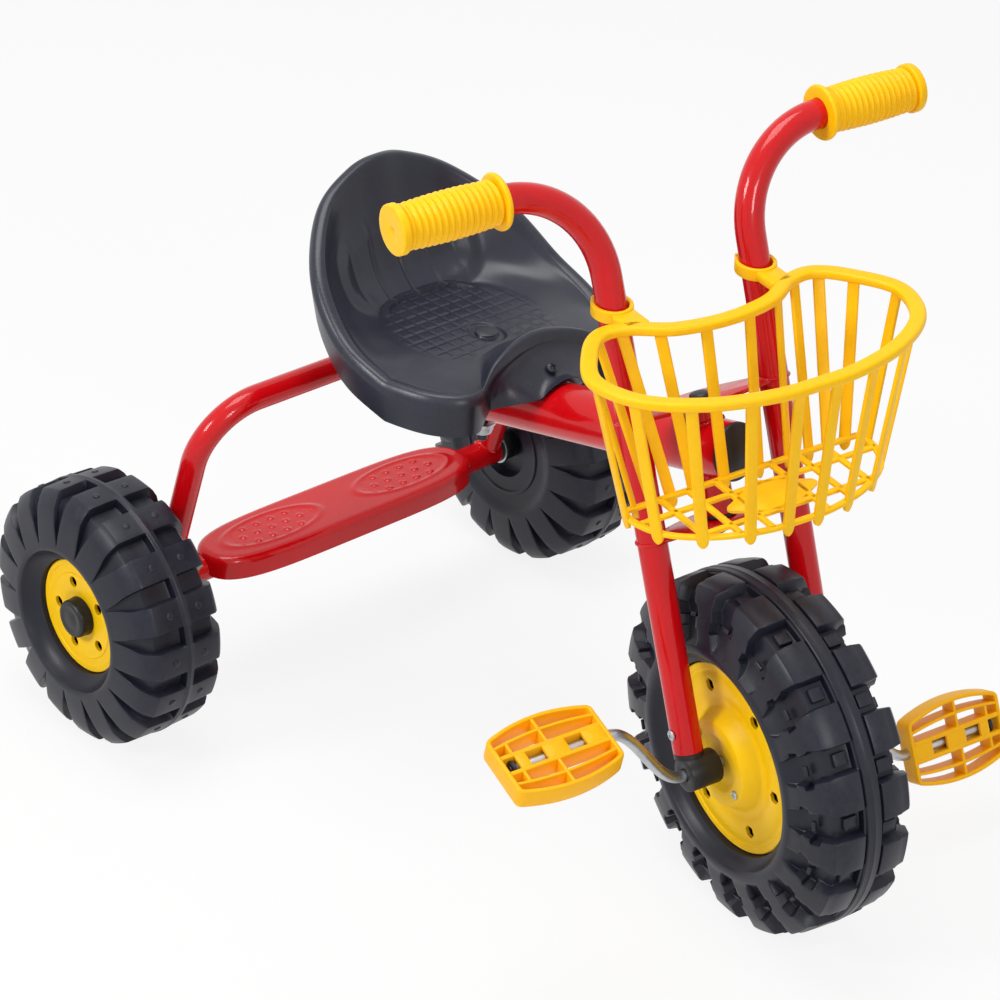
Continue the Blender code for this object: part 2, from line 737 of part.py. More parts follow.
def rear_wheel(side_name, side, root):
    """A rear wheel: hollow tyre, disc, inner bush and the cap on the rod's end."""
    centre = empty("rear_wheel_" + side_name, root, (side * REAR_WHEEL_X, 0, REAR_AXLE_Z))
    spec = REAR_TYRE
    tyre("rear_tyre_" + side_name, spec, centre, side, False)
    bore = bore_round(REAR_ROD_RADIUS, gap=RUNNING_GAP)
    face = spec.disc_x
    back = face - DISC_THICKNESS
    recess_floor = face - 0.001
    disc_profile = [
        (bore, recess_floor), (bore, face - 0.014), (bore + 0.003, face - 0.014), (bore + 0.004, back),
        (spec.disc_radius, back), (spec.disc_radius, face), (HUB_CAP_RADIUS + 0.003, face),
        (HUB_CAP_RADIUS + 0.002, recess_floor),
    ]
    wheel_disc("rear_disc_" + side_name, disc_profile, centre, side, REAR_DISC_HOLES)
    outer = REAR_ROD_RADIUS + HUB_WALL - GAP
    inner_face = AXLE_TUBE_HALF + BUSH_FLANGE + WASHER_THICKNESS + 3 * GAP - REAR_WHEEL_X
    bush = [
        (bore, inner_face), (bore, HUB_FLOOR_X + 0.006), (outer, HUB_FLOOR_X + 0.006),
        (outer, HUB_FLOOR_X - GAP), (HUB_FLANGE_RADIUS, HUB_FLOOR_X - GAP),
        (HUB_FLANGE_RADIUS, inner_face),
    ]
    turned("hub_bush_" + side_name, bush, "black plastic", centre, (0, 0, 0), (side, 0, 0))
    top = face + HUB_CAP_LENGTH
    rod_end = top - HUB_CAP_FLOOR + GAP
    cap = [
        (0, top), (HUB_CAP_RADIUS - 0.002, top), (HUB_CAP_RADIUS, top - 0.002),
        (HUB_CAP_RADIUS, recess_floor + GAP), (bore, recess_floor + GAP), (bore, rod_end), (0, rod_end),
    ]
    turned("hub_cap_" + side_name, cap, "black plastic", centre, (0, 0, 0), (side, 0, 0))


def step_plate(parent):
    """A pressed plate with rounded ends and a rolled-down edge, notched over the axle tube."""
    count = 32

    def outline(grow, z):
        """A rounded oblong, its half sizes grown by this much, at this height."""
        half_length, half_width = STEP_HALF_LENGTH + grow, STEP_HALF_WIDTH + grow
        row = []
        for i in range(count):
            turn = 2 * math.pi * (i + 0.5) / count
            c, s = math.cos(turn), math.sin(turn)
            across = half_width * math.copysign(abs(s) ** STEP_SIDE_POWER, s)
            along = half_length * math.copysign(abs(c) ** STEP_END_POWER, c)
            row.append((along, STEP_Y + across, z))
        return row

    top, under = STEP_TOP_Z, STEP_TOP_Z - STEP_SHEET
    foot = STEP_TOP_Z - STEP_SKIRT
    rows = [
        outline(-STEP_EDGE, top), outline(-STEP_EDGE * 0.3, top - STEP_EDGE * 0.3),
        outline(0, top - STEP_EDGE), outline(0, foot), outline(-STEP_SHEET, foot),
        outline(-STEP_SHEET, top - STEP_EDGE), outline(-STEP_EDGE - STEP_SHEET * 0.5, under),
    ]
    obj = loft("step_plate", rows, "red paint", parent, closed_ends=True)
    notch = cylinder(
        "step_notch", AXLE_TUBE_RADIUS + GAP, 4 * STEP_HALF_LENGTH, None, parent,
        (0, 0, REAR_AXLE_Z), (1, 0, 0), TURN_STEPS,
    )
    return combine(obj, notch)


def seat(parent):
    """The bucket seat as one shell: flat pan, walls up to the rim, a rolled lip and an outer skirt."""
    rim = smooth_closed(SEAT_RIM, 36)
    centre = Vector((0, SEAT_CENTRE_Y, SEAT_PAN_Z))
    rows = []
    for share, height, out, drop, apron in SEAT_ROWS:
        row = []
        for point in rim:
            flat = Vector((point.x, point.y - centre.y, 0))
            lift = height * max(point.z - centre.z, -0.004)
            reach = max(0.0, 1 - (point.x / SEAT_APRON_HALF) ** 2) if point.y < SEAT_BOLT_Y else 0.0
            step = Vector((0, -apron * reach, lift - drop))
            row.append(centre + flat * share + flat.normalized() * out + step)
        rows.append(row)
    bm = bmesh.new()
    grid = [[bm.verts.new(point) for point in row] for row in rows]
    for first, second in zip(grid, grid[1:]):
        for i in range(len(first)):
            j = (i + 1) % len(first)
            bm.faces.new((first[i], first[j], second[j], second[i]))
    bm.faces.new(grid[0])
    bmesh.ops.recalc_face_normals(bm, faces=bm.faces)
    mesh = bpy.data.meshes.new("seat")
    bm.to_mesh(mesh)
    bm.free()
    mesh.shade_smooth()
    obj = add("seat", mesh, "dark plastic", parent)
    shell = obj.modifiers.new("shell", "SOLIDIFY")
    shell.thickness = SEAT_SHELL
    shell.offset = -1.0
    hole = cylinder(
        "seat_hole", SEAT_BOLT_RADIUS + GAP, 0.04, None, parent, (0, SEAT_BOLT_Y, SEAT_PAN_Z)
    )
    tunnel = cylinder(
        "seat_tunnel", BACKBONE_RADIUS + 0.001, 0.5, None, parent, backbone_point(SEAT_BOLT_Y),
        BACKBONE_AXIS, TURN_STEPS,
    )
    screw_hole = cylinder(
        "seat_screw_hole", SEAT_SCREW_RADIUS + 2 * GAP, 0.02, None, parent, seat_screw_point(),
        SEAT_SCREW_AXIS, 8,
    )
    combine(obj, hole)
    combine(obj, tunnel)
    combine(obj, screw_hole)
    return obj


def seat_screw_point():
    """Where the screw's head rests on the front skirt."""
    crest, foot = Vector((0, -0.2210, 0.3400)), Vector((0, -0.2520, 0.3170))
    share = (SEAT_SCREW_Y - crest.y) / (foot.y - crest.y)
    return crest.lerp(foot, share) + SEAT_SCREW_AXIS * GAP


def seat_fixings(parent):
    """The saddle block under the pan, and the bolt, washer and nut through the backbone."""
    tube_top = backbone_point(SEAT_BOLT_Y).z + BACKBONE_RADIUS / math.cos(BACKBONE_SLOPE)
    under_pan = SEAT_PAN_Z - SEAT_SHELL - GAP
    low = tube_top - SADDLE_GRIP
    saddle = box(
        "seat_saddle", (SADDLE_WIDTH, SADDLE_LENGTH, under_pan - low), "black plastic", parent,
        (0, SEAT_BOLT_Y, (under_pan + low) / 2),
    )
    around = cylinder(
        "saddle_tube_cut", BACKBONE_RADIUS + GAP, CUT_LENGTH, None, parent,
        backbone_point(SEAT_BOLT_Y), BACKBONE_AXIS, TURN_STEPS,
    )
    hole = cylinder(
        "saddle_hole", SEAT_BOLT_RADIUS + GAP, 0.1, None, parent, (0, SEAT_BOLT_Y, under_pan)
    )
    combine(saddle, around)
    combine(saddle, hole)
    slant = WASHER_RADIUS * math.tan(BACKBONE_SLOPE)
    tube_foot = backbone_point(SEAT_BOLT_Y).z - BACKBONE_RADIUS / math.cos(BACKBONE_SLOPE) - slant
    washer_top = tube_foot - GAP
    washer_foot = washer_top - WASHER_THICKNESS
    nut_foot = washer_foot - GAP - SEAT_NUT_HEIGHT
    bolt_foot = nut_foot - SEAT_NUT_HEIGHT
    head_low = SEAT_PAN_Z + GAP
    bolt = [
        (0, head_low + 0.0035), (0.7 * SEAT_BOLT_HEAD_RADIUS, head_low + 0.003),
        (SEAT_BOLT_HEAD_RADIUS, head_low), (SEAT_BOLT_RADIUS, head_low),
        (SEAT_BOLT_RADIUS, bolt_foot), (0, bolt_foot),
    ]
    at = (0, SEAT_BOLT_Y, 0)
    turned("seat_bolt", bolt, "zinc steel", parent, at)
    washer = ring(bore_round(SEAT_BOLT_RADIUS), SEAT_WASHER_RADIUS, washer_foot, washer_top)
    turned("seat_washer", washer, "zinc steel", parent, at)
    nut = ring(bore_round(SEAT_BOLT_RADIUS, 6), SEAT_NUT_RADIUS, nut_foot, washer_foot - GAP)
    turned("seat_nut", nut, "zinc steel", parent, at, steps=6)
    screw = screw_profile(SEAT_SCREW_RADIUS, 0.0042, 0.0024, SEAT_SCREW_LENGTH)
    turned("seat_screw", screw, "zinc steel", parent, seat_screw_point(), SEAT_SCREW_AXIS, 8)


def head_parts(parent):
    """The plastic bushes in the ends of the head tube."""
    bore = bore_round(PIVOT_RADIUS, gap=RUNNING_GAP)
    spigot = HEAD_TUBE_RADIUS - HEAD_TUBE_WALL - GAP
    flange = HEAD_TUBE_RADIUS + 0.001
    profile = [
        (bore, -BUSH_DEPTH), (bore, BUSH_FLANGE), (flange, BUSH_FLANGE), (flange, GAP), (spigot, GAP),
        (spigot, -BUSH_DEPTH),
    ]
    for name, distance, out in (
        ("head_bush_upper", HEAD_TUBE_UP, STEER_AXIS), ("head_bush_lower", HEAD_TUBE_DOWN, -STEER_AXIS)
    ):
        turned(name, profile, "black plastic", parent, HEAD + out * distance, out)


def fork_tube(name, side, parent):
    """A leg and its half of the handlebar: one hollow tube with one bend."""
    turn = leg_point(side, HANDLEBAR_RISE)
    end = Vector((side * (GRIP_OUTER_X - GRIP_FLOOR - 2 * GAP), turn.y, turn.z))
    past = 0.01
    corners = [leg_point(side, LEG_FOOT), turn, end]
    inner_corners = [leg_point(side, LEG_FOOT - past), turn, end + Vector((side * past, 0, 0))]
    obj = tube(name, filleted(corners, HANDLEBAR_BEND, 8), FORK_RADIUS, "red paint", parent)
    inside = tube(
        name + "_inside", filleted(inner_corners, HANDLEBAR_BEND, 8), FORK_RADIUS - FORK_WALL, None,
        parent,
    )
    combine(obj, inside)
    screw_hole = cylinder(
        name + "_screw_hole", BEARING_SCREW_RADIUS + GAP, 2 * FORK_RADIUS, None, parent,
        leg_point(side, BEARING_SCREW_RISE) + Vector((side * FORK_RADIUS, 0, 0)), (1, 0, 0), 8,
    )
    combine(obj, screw_hole)
    return obj


def grip(name, side, parent):
    """A ribbed sleeve, closed at its outer end but for a small vent, with a flange at its inner end."""
    length = GRIP_OUTER_X - GRIP_INNER_X
    bore = bore_round(FORK_RADIUS)
    floor, edge = length - GRIP_FLOOR, 0.001
    profile = [(bore, 0), (bore, floor), (GRIP_VENT, floor), (GRIP_VENT, length)]
    profile += [(GRIP_END_RADIUS - edge, length), (GRIP_END_RADIUS, length - edge)]
    profile += [(GRIP_END_RADIUS, length - GRIP_END)]
    span = length - GRIP_FLANGE - GRIP_END
    valley = GRIP_RADIUS - GRIP_RIB_DEPTH
    for rib in range(GRIP_RIBS):
        share = (rib + 0.5) / GRIP_RIBS
        swell = 0.8 * GRIP_RIB_DEPTH * math.sin(math.pi * share)
        outward = length - GRIP_END - span * share
        profile += [(valley + swell, outward + span * 0.5 / GRIP_RIBS)]
        profile += [(GRIP_RADIUS + swell, outward)]
    profile += [(valley, GRIP_FLANGE), (GRIP_FLANGE_RADIUS, GRIP_FLANGE - edge), (GRIP_FLANGE_RADIUS, 0)]
    bar = leg_point(side, HANDLEBAR_RISE)
    return turned(
        name, profile, "yellow plastic", parent, (side * GRIP_INNER_X, bar.y, bar.z), (side, 0, 0)
    )


def crown_plate(name, distance, parent):
    """A lens-shaped plate across the two legs, square to the steering axis."""
    centre = HEAD + STEER_AXIS * distance
    rise = (centre.z - FRONT_AXLE_Z) / LEG_AXIS.z
    offset = (leg_point(1, rise) - centre).dot(Vector((0, math.cos(STEER_RAKE), -math.sin(STEER_RAKE))))
    steps = 8
    top, bottom = [], []
    for step in range(steps + 1):
        share = -1 + 2 * step / steps
        swell = math.cos(share * math.pi / 2) ** 1.5
        half = PLATE_END_HALF + (PLATE_HALF_WIDTH - PLATE_END_HALF) * swell
        middle = offset * share**2
        top.append((LEG_X * share, middle + half))
        bottom.append((LEG_X * share, middle - half))
    outline = bottom + top[::-1]
    obj = slab(
        name, [outline, circle(PIVOT_RADIUS + GAP)], PLATE_THICKNESS, "red paint", parent, centre,
        (-STEER_RAKE, 0, 0),
    )
    for side in SIDES.values():
        leg = cylinder(
            f"{name}_leg_cut_{side}", FORK_RADIUS + GAP, 0.1, None, parent, leg_point(side, rise),
            LEG_AXIS, TURN_STEPS,
        )
        combine(obj, leg)
    return obj


def pivot(parent):
    """The steering bolt with its round head, and its nut."""
    above = PLATE_UPPER + PLATE_THICKNESS / 2 + GAP
    below = PLATE_LOWER - PLATE_THICKNESS / 2 - GAP
    foot = below - 1.5 * PIVOT_NUT_HEIGHT
    profile = [
        (0, above + 0.004), (0.65 * PIVOT_HEAD_RADIUS, above + 0.0035),
        (PIVOT_HEAD_RADIUS, above + 0.001), (PIVOT_HEAD_RADIUS, above), (PIVOT_RADIUS, above),
        (PIVOT_RADIUS, foot), (0, foot),
    ]
    turned("pivot_bolt", profile, "black plastic", parent, HEAD, STEER_AXIS)
    nut = ring(bore_round(PIVOT_RADIUS, 6), PIVOT_NUT_RADIUS, below - PIVOT_NUT_HEIGHT, below)
    turned("pivot_nut", nut, "black plastic", parent, HEAD, STEER_AXIS, 6)


def bearing(side_name, side, parent):
    """A plastic bearing: a barrel round the crank rod and a spigot up inside the leg, with its screw."""
    centre = (side * (BEARING_INNER_X + BEARING_OUTER_X) / 2, FRONT_AXLE.y, FRONT_AXLE_Z)
    obj = cylinder(
        "bearing_" + side_name, BEARING_RADIUS, BEARING_OUTER_X - BEARING_INNER_X, "black plastic",
        parent, centre, (1, 0, 0), TURN_STEPS,
    )
    collar = cylinder(
        f"bearing_{side_name}_collar", FORK_RADIUS, LEG_FOOT - GAP, None, parent,
        leg_point(side, (LEG_FOOT - GAP) / 2), LEG_AXIS,
    )
    spigot = cylinder(
        f"bearing_{side_name}_spigot", FORK_RADIUS - FORK_WALL - 2 * GAP, BEARING_SPIGOT, None, parent,
        leg_point(side, BEARING_SPIGOT / 2), LEG_AXIS, SMALL_STEPS,
    )
    bore = cylinder(
        f"bearing_{side_name}_bore", CRANK_ROD_RADIUS + RUNNING_GAP, CUT_LENGTH, None, parent,
        centre, (1, 0, 0),
    )
    screw_at = leg_point(side, BEARING_SCREW_RISE)
    screw_hole = cylinder(
        f"bearing_{side_name}_screw_hole", BEARING_SCREW_RADIUS + GAP, 0.03, None, parent,
        screw_at + Vector((side * 0.0125, 0, 0)), (1, 0, 0), 8,
    )
    combine(obj, collar, "UNION")
    combine(obj, spigot, "UNION")
    combine(obj, bore)
    combine(obj, screw_hole)
    face = LEG_X + FORK_RADIUS + GAP
    screw = screw_profile(BEARING_SCREW_RADIUS, 0.0038, 0.0018, 0.010)
    turned(
        "bearing_screw_" + side_name, screw, "zinc steel", parent, (side * face, screw_at.y, screw_at.z),
        (side, 0, 0), 8,
    )


def front_wheel(centre):
    """The front wheel about its axle: hollow tyre open on both sides, two discs and their screws."""
    spec = FRONT_TYRE
    tyre("front_tyre", spec, centre, 1, True)
    face = spec.disc_x
    back = face - DISC_THICKNESS
    bore = bore_round(CRANK_ROD_RADIUS)
    top = FRONT_BOSS_X - 0.001
    under = top - DISC_THICKNESS
    profile = [
        (bore, top - 0.004), (bore, face - 0.012), (bore + 0.004, face - 0.012),
        (bore + 0.005, top - 0.0065), (0.022, under), (0.029, under), (0.035, back),
        (spec.disc_radius, back), (spec.disc_radius, face), (0.0375, face), (0.031, top),
        (0.021, top), (0.017, top - 0.004),
    ]
    screw = screw_profile(DISC_SCREW_RADIUS, 0.0032, 0.0014, 0.006)
    for side_name, side in SIDES.items():
        wheel_disc(
            "front_disc_" + side_name, profile, centre, side, FRONT_DISC_HOLES, DISC_SCREW_TURNS
        )
        for index, turn in enumerate(DISC_SCREW_TURNS, 1):
            across, up = DISC_SCREW_CIRCLE * math.cos(turn), DISC_SCREW_CIRCLE * math.sin(turn)
            turned(
                f"disc_screw_{side_name}_{index}", screw, "zinc steel", centre,
                (side * (top + GAP), across, up), (side, 0, 0), 8,
            )


def crank_offset():
    """From the axle to the left pedal's pin."""
    return Vector((0, CRANK_THROW * math.cos(CRANK_ANGLE), CRANK_THROW * math.sin(CRANK_ANGLE)))


def crank_rod(centre):
    """One bent rod: left pin, left crank, axle, right crank, right pin."""
    throw = crank_offset()
    pin_end = PEDAL_INNER_X + PEDAL_LENGTH - PEDAL_PIN_SHORT
    corners = [
        Vector((pin_end, 0, 0)) + throw, Vector((CRANK_HEAD_X, 0, 0)) + throw,
        Vector((CRANK_FOOT_X, 0, 0)), Vector((-CRANK_FOOT_X, 0, 0)),
        Vector((-CRANK_HEAD_X, 0, 0)) - throw, Vector((-pin_end, 0, 0)) - throw,
    ]
    return tube("crank_rod", filleted(corners, CRANK_BEND, 5), CRANK_ROD_RADIUS, "zinc steel", centre, 3)


def pedal(side_name, side, centre):
    """A barrel-shaped open pedal on its pin, with the push cap on the pin's end."""
    middle_x = PEDAL_INNER_X + PEDAL_LENGTH / 2
    pin = empty("pedal_pin_" + side_name, centre, Vector((side * middle_x, 0, 0)) + crank_offset() * side)
    half = PEDAL_LENGTH / 2
    steps = 8
    shares = [-1 + 2 * step / steps for step in range(steps + 1)]

    def width(share, inset=0.0):
        """Half the pedal's breadth at this share of its half length."""
        return PEDAL_END_HALF + (PEDAL_MIDDLE_HALF - PEDAL_END_HALF) * (1 - share**2) - inset

    edge = [(half * s, width(s)) for s in shares]
    outline = edge + [(x, -y) for x, y in reversed(edge)]
    holes = []
    bay = 2 * (half - PEDAL_WALL) / 3
    for column in range(3):
        low = -half + PEDAL_WALL + bay * column + (PEDAL_RIB / 2 if column else 0)
        high = -half + PEDAL_WALL + bay * (column + 1) - (PEDAL_RIB / 2 if column < 2 else 0)
        low_out, high_out = (width(x / half, PEDAL_WALL) for x in (low, high))
        for flip in (1, -1):
            holes.append([
                (low, flip * PEDAL_SPINE_HALF), (high, flip * PEDAL_SPINE_HALF),
                (high, flip * high_out), (low, flip * low_out),
            ])
    obj = slab("pedal_" + side_name, [outline] + holes, PEDAL_THICKNESS, "amber plastic", pin)
    obj.rotation_euler = (PEDAL_TURNS[side_name], 0, 0)
    turned_pin = Matrix.Rotation(PEDAL_TURNS[side_name], 4, "X")
    bore = cylinder(
        f"pedal_{side_name}_bore", CRANK_ROD_RADIUS + RUNNING_GAP, CUT_LENGTH, None, pin, (0, 0, 0),
        (1, 0, 0),
    )
    combine(obj, bore, solver="MANIFOLD")
    cuts = [(f"window_{index}", at, PEDAL_WINDOW) for index, at in enumerate(PEDAL_WINDOW_X)]
    cuts.append(("notch", half, (2 * PEDAL_NOTCH[0], PEDAL_NOTCH[1])))
    for cut_name, at, (long, wide) in cuts:
        cut = box(f"pedal_{side_name}_{cut_name}", (long, wide, 3 * PEDAL_THICKNESS), None, pin)
        cut.matrix_local = turned_pin @ Matrix.Translation((side * at, 0, 0))
        combine(obj, cut, solver="MANIFOLD")
    end = half - PEDAL_PIN_SHORT
    skirt = end - 0.0005
    bore_radius = bore_round(CRANK_ROD_RADIUS)
    cap = [
        (0, end + 0.0035), (0.77 * PEDAL_CAP_RADIUS, end + 0.003), (PEDAL_CAP_RADIUS, end + 0.001),
        (PEDAL_CAP_RADIUS, skirt), (bore_radius, skirt), (bore_radius, end + GAP), (0, end + GAP),
    ]
    turned("pedal_cap_" + side_name, cap, "black plastic", pin, (0, 0, 0), (side, 0, 0))


def basket(parent):
    """The slatted basket: rim, slats and floor joined, with an open clip round each leg."""
    rise = (BASKET_RIM_Z - FRONT_AXLE_Z) / LEG_AXIS.z
    foot = leg_point(1, rise)
    origin = Vector((0, foot.y, foot.z))
    frame = empty("basket_frame", parent, origin)
    rim = [Vector((p.x, p.y, 0)) for p in smooth_closed([(x, y, 0) for x, y in BASKET_RIM], 36)]
    count = len(rim)
    centre = Vector((0, BASKET_MIDDLE_Y, 0))
    normals = []
    for i in range(count):
        along = (rim[(i + 1) % count] - rim[i - 1]).normalized()
        normals.append(Vector((along.y, -along.x, 0)))
    if (rim[count // 4] - centre).dot(normals[count // 4]) < 0:
        normals = [-n for n in normals]

    def offset(distance):
        """The rim's line moved outwards by this much."""
        return [(p + n * distance)[:2] for p, n in zip(rim, normals)]

    obj = slab(
        "basket", [offset(BASKET_RIM_HALF), offset(-BASKET_RIM_HALF)], BASKET_RIM_HEIGHT,
        "yellow plastic", frame,
    )
    floor_line = [centre + (p - centre) * BASKET_TAPER for p in rim]
    for point in floor_line:
        point.y = min(point.y, BASKET_BACK_Y)
    floor = slab(
        "basket_floor", [[p[:2] for p in floor_line]], BASKET_FLOOR, None, frame, (0, 0, -BASKET_DEPTH)
    )
    for (front, back), columns in BASKET_WINDOW_ROWS:
        for column in columns:
            hole = box(
                f"basket_window_{columns.index(column)}_{len(columns)}",
                (BASKET_WINDOW_WIDTH, back - front, 0.02), None, frame,
                (column * BASKET_WINDOW_PITCH, (front + back) / 2, -BASKET_DEPTH),
            )
            combine(floor, hole)
    bm = bmesh.new()
    for index in range(BASKET_SLATS):
        place_on = count * (index + 0.5) / BASKET_SLATS
        i = int(place_on) % count
        share = place_on - int(place_on)
        j = (i + 1) % count
        top = rim[i].lerp(rim[j], share)
        foot_point = floor_line[i].lerp(floor_line[j], share)
        out = normals[i].lerp(normals[j], share).normalized()
        side_step = Vector((-out.y, out.x, 0)) * BASKET_SLAT_WIDTH / 2
        thick = out * BASKET_SLAT_THICKNESS / 2
        low = Vector((0, 0, -BASKET_DEPTH - BASKET_FEET))
        around = (-side_step - thick, side_step - thick, side_step + thick, thick - side_step)
        corners = [top + step for step in around] + [foot_point + low + step for step in around]
        v = [bm.verts.new(corner) for corner in corners]
        for face in ((0, 1, 2, 3), (7, 6, 5, 4), (0, 4, 5, 1), (1, 5, 6, 2), (2, 6, 7, 3), (3, 7, 4, 0)):
            bm.faces.new([v[k] for k in face])
    slats = add("basket_slats", mesh_from(bm, "basket_slats"), None, frame)
    combine(obj, slats, "UNION")
    combine(obj, floor, "UNION")
    for side_name, side in SIDES.items():
        clip_radius = FORK_RADIUS + GAP + BASKET_CLIP_WALL
        at = (side * LEG_X, 0, 0)
        clip = cylinder(
            f"basket_clip_{side_name}", clip_radius, BASKET_RIM_HEIGHT, None, frame, at,
            sides=TURN_STEPS,
        )
        bridge = box(
            f"basket_bridge_{side_name}", (*BASKET_BRIDGE, BASKET_RIM_HEIGHT), None, frame,
            (side * LEG_X, -2 * FORK_RADIUS, 0),
        )
        combine(obj, clip, "UNION")
        combine(obj, bridge, "UNION")
        leg = cylinder(
            f"basket_leg_cut_{side_name}", FORK_RADIUS + GAP, 0.3, None, parent, leg_point(side, rise),
            LEG_AXIS, TURN_STEPS,
        )
        mouth = box(
            f"basket_mouth_{side_name}", (BASKET_CLIP_MOUTH, 0.030, 0.04), None, frame,
            (side * LEG_X, 0.015, 0),
        )
        combine(obj, leg)
        combine(obj, mouth)
    return obj


def settle(root):
    """Slides the model so that the origin is the middle of its footprint."""
    bpy.context.view_layer.update()
    graph = bpy.context.evaluated_depsgraph_get()
    ys = []
    for obj in PARTS.objects:
        if obj.type != "MESH":
            continue
        evaluated = obj.evaluated_get(graph)
        mesh = evaluated.to_mesh()
        ys += [(evaluated.matrix_world @ vertex.co).y for vertex in mesh.vertices]
        evaluated.to_mesh_clear()
    root.location.y = -(min(ys) + max(ys)) / 2
    bpy.context.view_layer.update()


def main():
    root = empty("tricycle_frame", None, (0, 0, 0))
    backbone(root)
    for side_name, side in SIDES.items():
        stay("stay_" + side_name, side, root)
    rear_axle_parts(root)
    step_plate(root)
    seat(root)
    seat_fixings(root)
    head_parts(root)
    for side_name, side in SIDES.items():
        rear_wheel(side_name, side, root)
    turn = Matrix.Rotation(-REST_STEER, 4, STEER_AXIS).to_euler()
    steering = empty("steering", root, STEER_FOOT, turn)
    fork = empty("fork", steering, -STEER_FOOT)
    for side_name, side in SIDES.items():
        fork_tube("fork_tube_" + side_name, side, fork)
        grip("grip_" + side_name, side, fork)
        bearing(side_name, side, fork)
    crown_plate("crown_plate_upper", PLATE_UPPER, fork)
    crown_plate("crown_plate_lower", PLATE_LOWER, fork)
    pivot(fork)
    basket(fork)
    axle = empty("front_wheel", fork, FRONT_AXLE)
    front_wheel(axle)
    crank_rod(axle)
    for side_name, side in SIDES.items():
        pedal(side_name, side, axle)
    settle(root)


main()
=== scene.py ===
"""A child's steel-tube tricycle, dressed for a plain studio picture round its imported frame.

Lengths are in metres. +Z is up, the rider faces -Y and has +X on the left hand. The frame's pieces are
worked out with Y measured from the rear axle. The fork's pieces are worked out with the fork straight
ahead, and its resting turn then carries them. Every finished mesh holds its place in its own points.
"""

import json
import logging
import math
from dataclasses import dataclass
from enum import Enum
from typing import Iterable, Mapping, Sequence

import bmesh
import bpy
import numpy as np
from mathutils import Matrix
from numpy.typing import NDArray


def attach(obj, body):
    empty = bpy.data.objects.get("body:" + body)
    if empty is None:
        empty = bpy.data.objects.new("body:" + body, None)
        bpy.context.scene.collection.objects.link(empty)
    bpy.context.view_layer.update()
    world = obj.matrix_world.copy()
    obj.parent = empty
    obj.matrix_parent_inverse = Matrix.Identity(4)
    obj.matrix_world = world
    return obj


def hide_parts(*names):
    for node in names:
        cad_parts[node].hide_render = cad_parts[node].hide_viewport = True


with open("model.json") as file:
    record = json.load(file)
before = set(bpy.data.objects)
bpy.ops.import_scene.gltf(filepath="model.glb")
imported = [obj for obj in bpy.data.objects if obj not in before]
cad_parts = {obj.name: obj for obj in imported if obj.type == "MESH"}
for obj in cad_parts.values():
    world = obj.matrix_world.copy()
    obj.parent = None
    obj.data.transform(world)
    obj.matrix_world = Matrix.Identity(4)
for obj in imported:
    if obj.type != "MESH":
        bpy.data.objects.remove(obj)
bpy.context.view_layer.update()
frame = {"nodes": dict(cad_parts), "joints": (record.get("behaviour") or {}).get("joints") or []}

Array = NDArray[np.float64]
Index = NDArray[np.int64]
Rows = Sequence[Sequence[float]] | Array
Colour = tuple[float, float, float, float]
Socket = bpy.types.NodeSocket
LOG = logging.getLogger("tricycle")

GAP = 0.0003  # between pieces that touch
RUN = 0.0004  # between a rod and what turns on it
SHARP = math.radians(38.0)  # edges steeper than this stay crisp
ACROSS = np.array([1.0, 0.0, 0.0])


class Side(Enum):
    """The rider's left and right, with the sign of X there."""

    LEFT = 1
    RIGHT = -1

    @property
    def word(self) -> str:
        """The side's name, as the pieces use it."""
        return self.name.lower()

    def round_wheel(self, count: int) -> Array:
        """The angles of a wheel's holes, from the top round to this side."""
        return math.pi / 2 + self.value * 2 * math.pi * np.arange(count) / count


def unit(vectors: Sequence[float] | Array) -> Array:
    """A vector, or each row of several, scaled to length 1."""
    values = np.asarray(vectors, float)
    return values / np.maximum(np.linalg.norm(values, axis=-1, keepdims=True), 1e-12)


def rotation(axis: Sequence[float], angle: float) -> Array:
    """A turn about an axis: identity + sin(angle) K + (1 - cos(angle)) K squared.

    Args:
        axis: the axis, of any length.
        angle: the turn in radians, by the right-hand rule.

    Returns:
        The 3 by 3 matrix.
    """
    x, y, z = unit(axis)
    cross = np.array([[0, -z, y], [z, 0, -x], [-y, x, 0]])
    return np.eye(3) + math.sin(angle) * cross + (1 - math.cos(angle)) * cross @ cross


@dataclass(frozen=True)
class Place:
    """A turned and shifted set of axes in the row frame."""

    turn: Array
    origin: Array

    def world(self, points: Array) -> Array:
        """Points given in these axes, in the row frame."""
        return points @ self.turn.T + self.origin

    def local(self, point: Sequence[float]) -> Array:
        """A point of the row frame, in these axes."""
        return (np.asarray(point, float) - self.origin) @ self.turn

    def shifted(self, offset: Sequence[float]) -> "Place":
        """The same axes, moved along themselves."""
        return Place(self.turn, self.world(np.asarray(offset, float)))

    def turned(self, axis: Sequence[float], angle: float) -> "Place":
        """The same origin, with the axes turned about one of their own directions."""
        return Place(self.turn @ rotation(axis, angle), self.origin)

    def spoke(self, radius: float, angle: float, rise: float = 0.0) -> "Place":
        """The same axes, moved out to a radius at an angle about their Z, and up it."""
        return self.shifted((radius * math.cos(angle), radius * math.sin(angle), rise))

    def aimed(self, offset: Sequence[float], axis: Sequence[float]) -> "Place":
        """Axes at an offset whose Z runs along a direction.

        Args:
            offset: the new origin, in these axes.
            axis: the new Z, in these axes.

        Returns:
            The place. Its X is level with these axes' XY plane where that is possible.
        """
        z = unit(axis)
        across = np.cross(z, [0, 0, 1]) if abs(z[2]) < 0.99 else np.array([1.0, 0, 0])
        x = unit(across)
        basis = np.stack([x, np.cross(z, x), z], axis=1)
        return Place(self.turn @ basis, self.world(np.asarray(offset, float)))


HERE = Place(np.eye(3), np.zeros(3))


